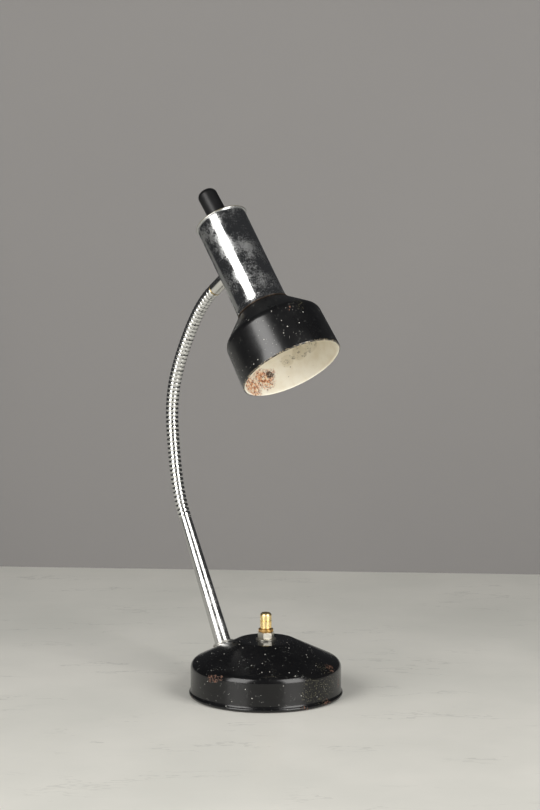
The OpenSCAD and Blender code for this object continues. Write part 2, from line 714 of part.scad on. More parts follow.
module socket_body() {
    color(PORCELAIN) on_head() difference() {
        translate([0, 0, SOCKET_END]) ring(SOCKET_R, 0, socket_len, 1);
        translate([0, 0, SOCKET_END - 1])
            cylinder(r = SHELL_R + SHELL_T + fixed_fit, h = socket_len - SOCKET_ROOF + 1);
        translate([0, 0, SOCKET_TOP - 5]) cylinder(r = SOCKET_SCREW_R + fixed_fit, h = 6);
        at_terminals() translate([0, 0, -1]) cylinder(r = TERMINAL_R + fixed_fit, h = 5);
    }
}
module socket_shell() {
    color(BRASS) on_head() translate([0, 0, SOCKET_END + 1])
        ring(SHELL_R + SHELL_T, SHELL_R, socket_len - SOCKET_ROOF - 2, 0.1);
}
module socket_contact() {
    color(BRASS) on_head() translate([-4, -2.5, BULB_TOP]) cube([8, 5, CONTACT_T]);
}
module terminal_screws() {
    color(BRASS) on_head() at_terminals() screw(2 * TERMINAL_R, 4.6, 1.4, 4);
}
// Cone and barrel with a rounding between them, spun in one piece with the collar that plugs into the tube
module shade() {
    neck_r = TUBE_R + 0.3;
    slope = atan2(shade_cone_len, barrel_d / 2 - neck_r);
    flare = atan2(mouth_flare / 2, shade_len - shade_cone_len);
    corner = [barrel_d / 2, TUBE_END_Z - shade_cone_len];
    start = corner + shade_round_r * tan((90 - flare - slope) / 2) * [-cos(slope), sin(slope)];
    centre = start - shade_round_r * [sin(slope), cos(slope)];
    // Where the inner side of the cone meets the inner side of the flat step
    inner_r = neck_r - shade_wall * (sin(slope) - (1 - cos(slope)) / tan(slope));
    function skin(inset) = arc(centre[0], centre[1], shade_round_r - inset, 90 - slope, flare, 8);
    color(PAINT) on_head() rotate_extrude() polygon(concat(
        [[COLLAR_R - shade_wall, TUBE_END_Z + shade_collar_len], [COLLAR_R, TUBE_END_Z + shade_collar_len]],
        [[COLLAR_R, TUBE_END_Z], [neck_r, TUBE_END_Z]],
        skin(0),
        arc(MOUTH_R - hem_r, MOUTH_Z + hem_r, hem_r, flare, -180, 8),
        [[MOUTH_R - shade_wall, MOUTH_Z + 3 * hem_r]],
        reversed(skin(shade_wall)),
        [[inner_r, TUBE_END_Z - shade_wall], [COLLAR_R - shade_wall, TUBE_END_Z - shade_wall]]
    ));
}
module bulb_base() {
    r = bulb_base_d / 2;
    color(NICKEL) on_head() translate([0, 0, BULB_SEAM]) rotate_extrude() polygon([
        [0, 0], [r, 0], [r, bulb_base_len - 4], [r - 5, bulb_base_len - 1], [3, bulb_base_len], [0, bulb_base_len]
    ]);
}
module bulb_glass() {
    r = globe_d / 2;
    neck_r = bulb_base_d / 2 - 0.6;
    join = acos(neck_r / r);
    color(GLASS) on_head() rotate_extrude() polygon(concat(
        [[0, BULB_SEAM], [neck_r, BULB_SEAM]],
        arc(0, GLOBE_Z, r, join, -90, 16)
    ));
}

base_shell();
base_weight();
bottom_cover();
felt_pad();
cover_screws();
cord_bushing();
switch_body();
switch_bushing();
switch_star_washer();
switch_washer();
switch_nut();
switch_ring_nut();
switch_shaft();
switch_knob();
stem_ring();
stem_tube();
stem_plug();
stem_nipple();
stem_washer();
stem_nut();
gooseneck_foot();
for (i = [1:LINKS])
    gooseneck_link(i);
gooseneck_end();
ferrule_ring();
ferrule();
swivel_nipple();
swivel_nut();
thrust_washer();
saddle_seat();
saddle_washer();
head_tube();
head_cap();
handle();
handle_screw();
socket_bracket();
socket_screw();
socket_body();
socket_shell();
socket_contact();
terminal_screws();
shade();
bulb_base();
bulb_glass();
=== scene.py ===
"""Looks of a gooseneck desk lamp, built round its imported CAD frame.

Each piece is modelled standing on its own axis, in millimetres times MM, and then put in place by a
Place that is read from the frame. Materials are node trees on Object coordinates.
"""

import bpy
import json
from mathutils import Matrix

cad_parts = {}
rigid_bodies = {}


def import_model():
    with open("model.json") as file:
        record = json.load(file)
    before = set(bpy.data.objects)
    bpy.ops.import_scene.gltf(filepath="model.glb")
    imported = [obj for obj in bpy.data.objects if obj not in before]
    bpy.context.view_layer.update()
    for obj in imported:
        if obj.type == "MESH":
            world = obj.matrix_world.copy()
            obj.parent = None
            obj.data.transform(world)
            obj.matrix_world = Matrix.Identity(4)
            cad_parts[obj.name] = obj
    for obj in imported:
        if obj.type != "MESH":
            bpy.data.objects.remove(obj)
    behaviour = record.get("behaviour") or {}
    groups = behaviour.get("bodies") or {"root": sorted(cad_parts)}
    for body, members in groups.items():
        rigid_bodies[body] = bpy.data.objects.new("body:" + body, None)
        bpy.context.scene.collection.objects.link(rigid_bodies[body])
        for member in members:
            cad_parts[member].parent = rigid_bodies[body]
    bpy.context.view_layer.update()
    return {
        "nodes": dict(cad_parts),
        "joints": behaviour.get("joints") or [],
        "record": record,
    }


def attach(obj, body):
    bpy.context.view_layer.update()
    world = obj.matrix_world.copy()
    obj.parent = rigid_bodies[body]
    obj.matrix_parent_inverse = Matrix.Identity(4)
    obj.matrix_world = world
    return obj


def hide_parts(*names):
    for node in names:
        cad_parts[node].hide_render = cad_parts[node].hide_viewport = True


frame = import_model()

import json
import logging
import math
from collections.abc import Callable
from dataclasses import dataclass, field
from enum import Enum
from typing import NamedTuple, TypeAlias

import bpy
from mathutils import Matrix, Vector

Point: TypeAlias = tuple[float, float]
Colour: TypeAlias = tuple[float, float, float, float]
Piece: TypeAlias = bpy.types.Object
Material: TypeAlias = bpy.types.Material
Test: TypeAlias = Callable[[Vector, Vector], bool]
Amount: TypeAlias = "Signal | float"
Value: TypeAlias = "Signal | float | tuple[float, ...] | Vector"

LOG = logging.getLogger("desk_lamp")
JOINTS = {joint["name"]: joint for joint in frame["joints"]}
NECK = [joint for name, joint in JOINTS.items() if name not in ("head_swivel", "switch_turn")]
MM = 0.001
CREASE = 32.0  # degrees: edges sharper than this stay sharp
SAME_PLACE = 2e-6  # metres: vertices closer than this become one
NO_STEP = 1e-7  # metres: shorter lines of an outline are left out
SIDEWAYS = Matrix.Rotation(math.pi / 2, 4, "Y")  # lays +Z along +X


# --- Places ---


class Extent(NamedTuple):
    """How far a CAD node reaches in a local frame, in millimetres."""

    low: float
    high: float
    radius: float


@dataclass(frozen=True)
class Place:
    """A local frame on the lamp: its origin, and how far its +Z leans forward, in radians."""

    origin: Vector
    lean: float = 0.0

    def matrix(self) -> Matrix:
        """The move from the local frame to the row frame."""
        return Matrix.Translation(self.origin) @ Matrix.Rotation(self.lean, 4, "Y")

    def up(self) -> Vector:
        """The local +Z in the row frame."""
        return Vector((math.sin(self.lean), 0.0, math.cos(self.lean)))

    def moved(self, along: float) -> "Place":
        """The same frame, moved along its own +Z by a distance in millimetres."""
        return Place(self.origin + self.up() * along * MM, self.lean)

    def extent(self, node: str) -> Extent:
        """A CAD node's lowest and highest z and largest radius, in this frame."""
        back = self.matrix().inverted()
        points = [back @ vertex.co / MM for vertex in frame["nodes"][node].data.vertices]
        return Extent(
            min(point.z for point in points),
            max(point.z for point in points),
            max(point.xy.length for point in points),
        )


ORIGIN = Place(Vector())


def middle_of(node: str) -> Vector:
    """The mean of a CAD node's vertices, which lies on the axis of a turned piece."""
    vertices = frame["nodes"][node].data.vertices
    return sum((vertex.co for vertex in vertices), Vector()) / len(vertices)


def lean_of(direction: Vector) -> float:
    """How far a direction in the plane XZ leans forward from +Z, in radians."""
    return math.atan2(direction.x, direction.z)


def stem_place() -> Place:
    """The stem's frame: on its axis at the first neck joint, with +Z up the stem."""
    joint = Vector(NECK[0]["pos_m"])
    return Place(joint, lean_of(joint - middle_of("stem_tube")))


def head_place() -> Place:
    """The head's frame: at the swivel, with +Z up the tube and +X along the ferrule."""
    swivel = JOINTS["head_swivel"]
    return Place(Vector(swivel["pos_m"]), lean_of(Vector(swivel["axis"])) - math.pi / 2)


# --- Modelling by hand ---


class Outline:
    """Half of a turned piece's outline: radii and heights in millimetres, point by point."""

    def __init__(self, *points: Point) -> None:
        """Starts the outline with its first points."""
        self.points: list[Point] = list(points)

    def to(self, *points: Point) -> "Outline":
        """Adds straight lines from point to point."""
        self.points.extend(points)
        return self

    def part_way(self, end: Point, taken: range, steps: int) -> "Outline":
        """Adds the steps taken, by number, of the line to another point."""
        (x, z), (end_x, end_z) = self.points[-1], end
        for step in taken:
            self.to((x + (end_x - x) * step / steps, z + (end_z - z) * step / steps))
        return self

    def arc(self, centre: Point, radius: float, start: float, end: float, steps: int) -> "Outline":
        """Adds an arc in straight pieces, from one angle to another in degrees."""
        for step in range(steps + 1):
            angle = math.radians(start + (end - start) * step / steps)
            self.to((centre[0] + radius * math.cos(angle), centre[1] + radius * math.sin(angle)))
        return self

    def closed(self) -> "Outline":
        """Goes back to the first point."""
        return self.to(self.points[0])


def nothing_selected() -> None:
    """Leaves edit mode and deselects everything."""
    if bpy.context.object and bpy.context.object.mode != "OBJECT":
        bpy.ops.object.mode_set(mode="OBJECT")
    bpy.ops.object.select_all(action="DESELECT")


def only(piece: Piece) -> None:
    """Makes a piece the only one that is selected, and the active one."""
    nothing_selected()
    piece.select_set(True)
    bpy.context.view_layer.objects.active = piece


def turned(name: str, outline: Outline, steps: int = 96, crease: float = CREASE) -> Piece:
    """Spins a half outline round Z; edges sharper than the crease, in degrees, stay sharp."""
    nothing_selected()
    bpy.ops.mesh.primitive_plane_add(size=MM)
    piece = bpy.context.object
    piece.name = piece.data.name = name
    bpy.ops.object.mode_set(mode="EDIT")
    bpy.ops.mesh.merge(type="CENTER")
    radius, height = outline.points[0]
    bpy.ops.transform.translate(value=(radius * MM, 0, height * MM))
    for new_radius, new_height in outline.points[1:]:
        step = ((new_radius - radius) * MM, 0, (new_height - height) * MM)
        if math.hypot(step[0], step[2]) > NO_STEP:
            bpy.ops.mesh.extrude_region_move(TRANSFORM_OT_translate={"value": step})
            radius, height = new_radius, new_height
    bpy.ops.mesh.select_all(action="SELECT")
    bpy.ops.mesh.remove_doubles(threshold=SAME_PLACE)
    bpy.ops.mesh.spin(steps=steps, angle=math.tau, center=(0, 0, 0), axis=(0, 0, 1))
    bpy.ops.mesh.select_all(action="SELECT")
    bpy.ops.mesh.remove_doubles(threshold=SAME_PLACE)
    bpy.ops.mesh.normals_make_consistent(inside=False)
    edit_done(crease)
    return piece


def faces_where(piece: Piece, test: Test) -> None:
    """Selects, in edit mode, the faces whose centre in millimetres and normal pass a test."""
    only(piece)
    bpy.ops.object.mode_set(mode="EDIT")
    bpy.ops.mesh.select_all(action="DESELECT")
    bpy.ops.mesh.select_mode(type="FACE")
    bpy.ops.object.mode_set(mode="OBJECT")
    for polygon in piece.data.polygons:
        polygon.select = test(polygon.center / MM, polygon.normal)
    bpy.ops.object.mode_set(mode="EDIT")


def edit_done(crease: float = CREASE) -> None:
    """Leaves edit mode; edges sharper than the crease, in degrees, stay sharp."""
    bpy.ops.mesh.select_mode(type="VERT")
    bpy.ops.object.mode_set(mode="OBJECT")
    bpy.ops.object.shade_smooth_by_angle(angle=math.radians(crease))


def facets(rim: float, step: float, share: float, low: float, high: float) -> Test:
    """A test for upright facets of a rim, in millimetres and radians.

    The pattern repeats with each step, and the share is how much of a step is picked.
    """

    def test(centre: Vector, normal: Vector) -> bool:
        """Whether a facet is one of them."""
        turn = math.atan2(centre.y, centre.x) % step
        on_side = centre.xy.length > rim - 0.1 and abs(normal.z) < 0.1
        return on_side and low < centre.z < high and turn < share * step

    return test


def cut(piece: Piece, tool: Piece, how: str = "DIFFERENCE") -> None:
    """Cuts a piece with a tool, which is then removed."""
    only(piece)
    modifier = piece.modifiers.new("cut", "BOOLEAN")
    modifier.operation = how
    modifier.solver = "EXACT"
    modifier.object = tool
    bpy.ops.object.modifier_apply(modifier=modifier.name)
    bpy.data.objects.remove(tool)
    bpy.ops.object.shade_smooth_by_angle(angle=math.radians(CREASE))


def rod(radius: float, length: float, sides: int) -> Piece:
    """Adds a rod along Z, in millimetres, with its middle at the origin."""
    nothing_selected()
    bpy.ops.mesh.primitive_cylinder_add(vertices=sides, radius=radius * MM, depth=length * MM)
    return bpy.context.object


def drill(piece: Piece, radius: float, reach: float, place: Matrix, sides: int = 64) -> None:
    """Drills a round hole along the place's Z, as far as the reach each way, in millimetres."""
    tool = rod(radius, 2 * reach, sides)
    tool.matrix_world = place
    cut(piece, tool)


def put(piece: Piece, place: Matrix) -> Piece:
    """Moves a piece from the origin to its place, and its mesh with it."""
    only(piece)
    piece.matrix_world = place
    bpy.ops.object.transform_apply(location=True, rotation=True, scale=True)
    return piece


# --- Shader maths ---


def operator(operation: str, swapped: bool = False) -> Callable[..., "Signal"]:
    """A method of Signal that adds a Math node, with the signal as second value if swapped."""

    def method(signal: "Signal", *others: Amount) -> "Signal":
        """Adds the node and returns its output."""
        values = (*others, signal) if swapped else (signal, *others)
        return signal.board.add("ShaderNodeMath", {"operation": operation}, dict(enumerate(values)))

    return method


class Signal:
    """One output socket, with operators that add Math nodes; | is the larger of two masks."""

    __add__ = __radd__ = operator("ADD")
    __sub__ = operator("SUBTRACT")
    __rsub__ = operator("SUBTRACT", swapped=True)
    __mul__ = __rmul__ = operator("MULTIPLY")
    __truediv__ = operator("DIVIDE")
    __abs__ = operator("ABSOLUTE")
    __or__ = operator("MAXIMUM")

    def __init__(self, board: "Board", socket: bpy.types.NodeSocket) -> None:
        """Wraps an output socket."""
        self.board = board
        self.socket = socket

    def other(self, name: str) -> "Signal":
        """Another output of the same node, by its name."""
        return Signal(self.board, self.socket.node.outputs[name])

    def over(self, low: float, high: float) -> "Signal":
        """A soft step from 0 at low to 1 at high, which may lie below low."""
        limits = {"Value": self, "From Min": low, "From Max": high}
        return self.board.add("ShaderNodeMapRange", {"interpolation_type": "SMOOTHSTEP"}, limits)


def paint(red: int, green: int, blue: int) -> Colour:
    """The linear form of a colour that is read on screen, from 0 to 255."""
    levels = [level / 255 for level in (red, green, blue)]
    linear = [v / 12.92 if v <= 10 / 255 else ((v + 0.055) / 1.055) ** 2.4 for v in levels]
    return (linear[0], linear[1], linear[2], 1.0)


@dataclass(frozen=True)
class Wear:
    """One worn spot on a turned wall, in the piece's own frame.

    Attributes:
        azimuth: Its direction from the axis, in degrees from local +X.
        wall: The wall's radius in millimetres.
        height: Its height in millimetres.
        radius: Its own radius in millimetres.
        share: How much of the coat has gone.
    """

    azimuth: float
    wall: float
    height: float
    radius: float
    share: float

    def centre(self) -> Vector:
        """Its middle in metres."""
        turn = math.radians(self.azimuth)
        return Vector((self.wall * math.cos(turn), self.wall * math.sin(turn), self.height)) * MM


class Board:
    """The node tree of a material or a world, with one method that adds any node."""

    def __init__(self, name: str, kind: str = "materials", shader: str = "BSDF_PRINCIPLED") -> None:
        """Starts a material or world; the kind is its collection in bpy.data."""
        self.owner = getattr(bpy.data, kind).new(name)
        self.owner.use_nodes = True
        self.tree = self.owner.node_tree
        self.shader = self.node(shader)

    def node(self, kind: str) -> bpy.types.Node:
        """The tree's first node of a type."""
        return next(node for node in self.tree.nodes if node.type == kind)

    def add(
        self,
        kind: str,
        settings: dict[str, str] | None = None,
        sockets: dict[str | int, Value] | None = None,
        out: int | str = 0,
    ) -> Signal:
        """Adds a node and returns one of its outputs.

        The settings are its properties, and the sockets go by name or number.
        """
        node = self.tree.nodes.new(kind)
        for name, value in (settings or {}).items():
            setattr(node, name, value)
        for name, value in (sockets or {}).items():
            self._fill(node.inputs[name], value)
        return Signal(self, node.outputs[out])

    def _fill(self, socket: bpy.types.NodeSocket, value: Value) -> None:
        """Links a signal to an input socket, or sets its value."""
        if isinstance(value, Signal):
            self.tree.links.new(value.socket, socket)
        else:
            socket.default_value = value

    def finish(self, **sockets: Value) -> Material | bpy.types.World:
        """Fills the shader's sockets, with _ for a space, and returns the material or world."""
        for name, value in sockets.items():
            self._fill(self.shader.inputs[name.replace("_", " ")], value)
        return self.owner

    def one_sided(self) -> None:
        """Lets a stage plane be seen from its front only, so that it hides nothing."""
        back = self.add("ShaderNodeNewGeometry", out="Backfacing")
        clear = self.add("ShaderNodeBsdfTransparent")
        front = Signal(self, self.shader.outputs[0])
        both = self.add("ShaderNodeMixShader", {}, {0: back, 1: front, 2: clear})
        self._fill(self.node("OUTPUT_MATERIAL").inputs["Surface"], both)

    def where(self, place: Place | None = None, stretch: tuple[float, ...] = ()) -> Signal:
        """Object coordinates in metres, in a piece's own frame where one is given.

        The stretch is how many times finer a pattern gets along each axis.
        """
        vector = self.add("ShaderNodeTexCoord", out="Object")
        if place:
            turn = {"Vector": vector, "Location": place.origin, "Rotation": (0.0, place.lean, 0.0)}
            vector = self.add("ShaderNodeMapping", {"vector_type": "TEXTURE"}, turn)
        if stretch:
            factors = {0: vector, 1: stretch}
            vector = self.add("ShaderNodeVectorMath", {"operation": "MULTIPLY"}, factors)
        return vector

    def noise(self, where: Signal, size: float, detail: float = 3.0, rough: float = 0.55) -> Signal:
        """Soft noise round 0.5, with blotches of a size in millimetres."""
        values = {"Vector": where, "Scale": 1 / (size * MM), "Detail": detail, "Roughness": rough}
        return self.add("ShaderNodeTexNoise", {}, values)

    def specks(self, where: Signal, apart: float, radius: float) -> Signal:
        """A mask of small round spots, with distance and largest radius in millimetres."""
        values = {"Vector": where, "Scale": 1 / (apart * MM)}
        cell = self.add("ShaderNodeTexVoronoi", {}, values, "Distance")
        return cell.over(radius / apart, 0.8 * radius / apart)

    def patch(self, where: Signal, spot: Wear, ragged: Signal, fray: float) -> Signal:
        """A mask of one worn spot, whose edge frays by a share of its radius."""
        ends = {0: where, 1: spot.centre()}
        away = self.add("ShaderNodeVectorMath", {"operation": "DISTANCE"}, ends, "Value")
        frayed = away / MM + (ragged - 0.5) * (2 * fray * spot.radius)
        return frayed.over(spot.radius, 0.75 * spot.radius)

    def height(self, where: Signal) -> Signal:
        """The local height in millimetres."""
        return self.add("ShaderNodeSeparateXYZ", {}, {0: where}, "Z") / MM

    def mix(self, mask: Amount, low: "Signal | Colour", high: "Signal | Colour") -> Signal:
        """Mixes two colours, from the first at a mask of 0 to the second at 1."""
        # the node's colour sockets share their names with others, so they go by number
        first, second, result = 6, 7, 2
        inputs = {0: mask, first: low, second: high}
        return self.add("ShaderNodeMix", {"data_type": "RGBA"}, inputs, result)

    def bump(self, height: Signal, depth: float, strength: float) -> Signal:
        """The normal of a relief, from a height of 0 to 1 and a depth in millimetres."""
        values = {"Height": height, "Strength": strength, "Distance": depth * MM}
        return self.add("ShaderNodeBump", {}, values)


# --- Finishes ---


@dataclass(frozen=True)
class Enamel:
    """Old black enamel: satin, speckled, scuffed, corroded in fine dots and rusted in spots."""

    name: str
    place: Place
    worn: tuple[Wear, ...]
    dotted: tuple[Wear, ...]
    rim: float | None = None  # the height of a rim that is worn bare
    gloss: float = 0.17
    dull: float = 0.0  # how much rougher the paint is than its thin clear coat

    def make(self) -> Material:
        """Builds the material."""
        board = Board(self.name)
        here = board.where(self.place)
        soft = board.noise(here, 14.0)
        fine = board.noise(here, 1.6, 5.0, 0.7)
        grain = board.noise(here, 0.5, 2.0)
        small_dust = board.specks(here, 2.1, 0.19) * soft.over(0.47, 0.57) * 0.8
        dust = board.specks(here, 5.0, 0.38) | small_dust
        smudge = board.noise(here, 5.0, 6.0, 0.75).over(0.56, 0.68) * fine.over(0.47, 0.58)
        rust: Amount = 0.0
        for spot in self.worn:
            edge = 0.66 - 0.18 * spot.share
            rust = board.patch(here, spot, fine, 0.9) * fine.over(edge, edge + 0.04) | rust
        small_fleck = board.specks(here, 0.8, 0.2) * grain.over(0.5, 0.54)
        fleck = board.specks(here, 1.5, 0.34) | small_fleck
        dots: Amount = 0.0
        for spot in self.dotted:
            dots = board.patch(here, spot, soft, 0.5) * fleck * (0.85 * spot.share) | dots
        colour = board.mix(soft.over(0.35, 0.7), paint(12, 12, 13), paint(17, 17, 18))
        colour = board.mix(smudge * 0.5, colour, paint(84, 86, 82))
        colour = board.mix(dots, colour, paint(116, 112, 88))
        rusty = board.mix(grain.over(0.4, 0.6), paint(132, 92, 72), paint(58, 38, 30))
        colour = board.mix(rust, colour, rusty)
        colour = board.mix(dust, colour, paint(206, 204, 196))
        if self.rim is not None:
            at_rim = board.height(here).over(self.rim + 1.0, self.rim + 0.4)
            colour = board.mix(at_rim * fine.over(0.5, 0.56), colour, paint(158, 146, 122))
        marks = dust | rust | dots
        rough = self.gloss + self.dull + soft.over(0.3, 0.75) * 0.04 + smudge * 0.2 + marks * 0.45
        relief = (1.0 - rust) * 0.6 + soft * 0.12 + fine * 0.015 + (dust | dots) * 0.2
        return board.finish(
            Base_Color=colour,
            Roughness=rough,
            Normal=board.bump(relief, 0.12, 0.7),
            IOR=1.45,
            Coat_Weight=0.5 * (1.0 - marks) if self.dull else 0.0,
            Coat_Roughness=self.gloss,
            Coat_IOR=1.45,
        )


@dataclass(frozen=True)
class CreamCoat:
    """The shade's cream inside: yellowed, stained near the mouth, peeling over rust at one side."""

    name: str
    place: Place
    peeling: tuple[Wear, ...]
    stained: tuple[Wear, ...]
    burnt: Wear

    def make(self) -> Material:
        """Builds the material."""
        board = Board(self.name)
        here = board.where(self.place)
        soft = board.noise(here, 11.0, 4.0)
        fine = board.noise(here, 2.6, 7.0, 0.78)
        crumbs = board.noise(here, 1.0, 6.0, 0.8)
        flakes = board.noise(here, 1.9, 3.0, 0.6)
        colour = board.mix(soft.over(0.35, 0.7), paint(247, 242, 228), paint(237, 229, 210))
        for spot in self.stained:
            area = board.patch(here, spot, soft, 0.7)
            colour = board.mix(area * 0.3 * spot.share, colour, paint(190, 178, 146))
            marks = area * fine.over(0.55, 0.6) * crumbs.over(0.42, 0.5)
            colour = board.mix(marks * spot.share, colour, paint(98, 86, 66))
        bare: Amount = 0.0
        ragged = fine * 0.5 + crumbs * 0.5
        for spot in self.peeling:
            edge = 0.565 - 0.11 * spot.share
            bare = board.patch(here, spot, fine, 1.1) * ragged.over(edge, edge + 0.015) | bare
        scale = board.mix(flakes.over(0.44, 0.5), paint(138, 78, 48), paint(224, 158, 114))
        scale = board.mix(flakes.over(0.56, 0.6), scale, paint(244, 220, 188))
        colour = board.mix(bare, colour, scale)
        burn = board.patch(here, self.burnt, fine, 1.1) * crumbs.over(0.38, 0.46)
        colour = board.mix(burn, colour, paint(74, 48, 34))
        chips = board.specks(here, 6.5, 0.42) | board.specks(here, 3.1, 0.15)
        colour = board.mix(chips * 0.8, colour, paint(82, 68, 52))
        relief = (1.0 - bare) * 0.8 + soft * 0.2 + crumbs * bare * 0.6
        return board.finish(
            Base_Color=colour,
            Roughness=0.42 + bare * 0.4 + soft.over(0.4, 0.7) * 0.1,
            Normal=board.bump(relief, 0.25, 0.8),
        )


@dataclass(frozen=True)
class Plating:
    """Polished plating, with the haze of small pits that age brings."""

    name: str
    colour: Colour
    polish: float
    haze: float
    place: Place | None = None
    rust_at: float | None = None  # the height of a seam that rusts

    def make(self) -> Material:
        """Builds the material."""
        board = Board(self.name)
        here = board.where(self.place)
        drift = board.noise(here, 13.0, 4.0, 0.6)
        grain = board.noise(here, 0.8, 5.0, 0.85)
        pits = board.noise(here, 0.45, 2.0, 0.6)
        fog = (grain + drift * 0.8).over(0.86, 1.04) * self.haze
        dots = board.specks(here, 1.2, 0.17) * drift.over(0.38, 0.5)
        rough = self.polish + fog * 0.3 + dots * self.haze * 0.3 + pits * 0.03
        colour = board.mix(fog * 0.2, self.colour, paint(186, 187, 186))
        colour = board.mix(dots * self.haze * 0.8, colour, paint(218, 217, 212))
        if self.rust_at is not None:
            seam = board.height(here).over(self.rust_at + 1.0, self.rust_at + 0.2)
            tan = seam * grain.over(0.4, 0.52)
            colour = board.mix(tan * 0.85, colour, paint(150, 118, 84))
            rough = rough + tan * 0.35
        relief = 1.0 - (fog * 0.5 + dots * 0.5) - pits * 0.1
        normal = board.bump(relief, 0.02, 0.6)
        return board.finish(Base_Color=colour, Metallic=1.0, Roughness=rough, Normal=normal)


@dataclass(frozen=True)
class Plain:
    """A finish with grain: plastic, felt, castings, porcelain, glass and bright steel."""

    name: str
    colour: Colour
    other: Colour
    roughness: float
    grain: float
    depth: float
    metallic: float = 0.0

    def make(self) -> Material:
        """Builds the material."""
        board = Board(self.name)
        here = board.where()
        coarse = board.noise(here, 9 * self.grain, 4.0, 0.6)
        fine = board.noise(here, self.grain, 4.0, 0.6)
        colour = board.mix(coarse.over(0.35, 0.68), self.colour, self.other)
        colour = board.mix(fine.over(0.55, 0.75) * 0.4, colour, self.other)
        return board.finish(
            Base_Color=colour,
            Metallic=self.metallic,
            Roughness=self.roughness + (fine - 0.5) * 0.16,
            Normal=board.bump(fine, self.depth, 0.6),
        )


class Slot(Enum):
    """The record's material slots."""

    ENAMEL = "black_enamel"
    CHROME = "chrome_plate"
    STEEL = "zinc_steel"
    NICKEL = "nickel_plate"
    BRASS = "brass"
    PHENOLIC = "black_phenolic"
    PORCELAIN = "porcelain"
    GLASS = "bulb_glass"
    IRON = "cast_iron"
    FELT = "felt"


PHENOLIC = Plain("black_phenolic", paint(13, 13, 14), paint(22, 22, 23), 0.42, 1.4, 0.02)
PLAIN = {
    slot.value: Plain(name, paint(*colour), paint(*other), *surface)
    for slot, name, colour, other, *surface in (
        (Slot.STEEL, "zinc_steel", (176, 176, 172), (150, 148, 142), 0.36, 0.9, 0.02, 1.0),
        (Slot.BRASS, "turned_brass", (214, 176, 104), (182, 142, 76), 0.3, 0.9, 0.02, 1.0),
        (Slot.IRON, "cast_iron", (74, 72, 72), (52, 50, 50), 0.75, 1.1, 0.2, 0.3),
        (Slot.FELT, "green_felt", (58, 74, 60), (44, 58, 47), 0.95, 0.35, 0.25),
        (Slot.PHENOLIC, "moulded_phenolic", (24, 22, 22), (34, 31, 30), 0.4, 1.2, 0.03),
        (Slot.PORCELAIN, "porcelain", (228, 224, 212), (216, 210, 194), 0.2, 3.0, 0.01),
        (Slot.CHROME, "inner_chrome", (204, 204, 202), (190, 190, 186), 0.15, 1.0, 0.01, 1.0),
        (Slot.NICKEL, "dull_nickel", (176, 172, 160), (150, 144, 130), 0.3, 1.0, 0.02, 1.0),
    )
}


# --- Pieces of the lamp ---


def coat(piece: Piece, *coats: Material) -> None:
    """Gives a piece its materials, one for each of its slots."""
    piece.data.materials.clear()
    for material in coats:
        piece.data.materials.append(material)


def second_coat(piece: Piece, test: Test) -> None:
    """Gives a piece's second material to the faces that pass a test."""
    faces_where(piece, test)
    piece.active_material_index = 1
    bpy.ops.object.material_slot_assign()
    edit_done()


def stands_for(piece: Piece, node: str, body: str, slot: Slot, *coats: Material) -> None:
    """Joins a piece that is in place to the frame.

    It replaces a CAD node, rides on a body, and gets its coats where it has none yet.
    """
    if coats:
        coat(piece, *coats)
    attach(piece, body)
    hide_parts(node)
    LOG.info("%s stands for %s on %s", piece.name, node, body)


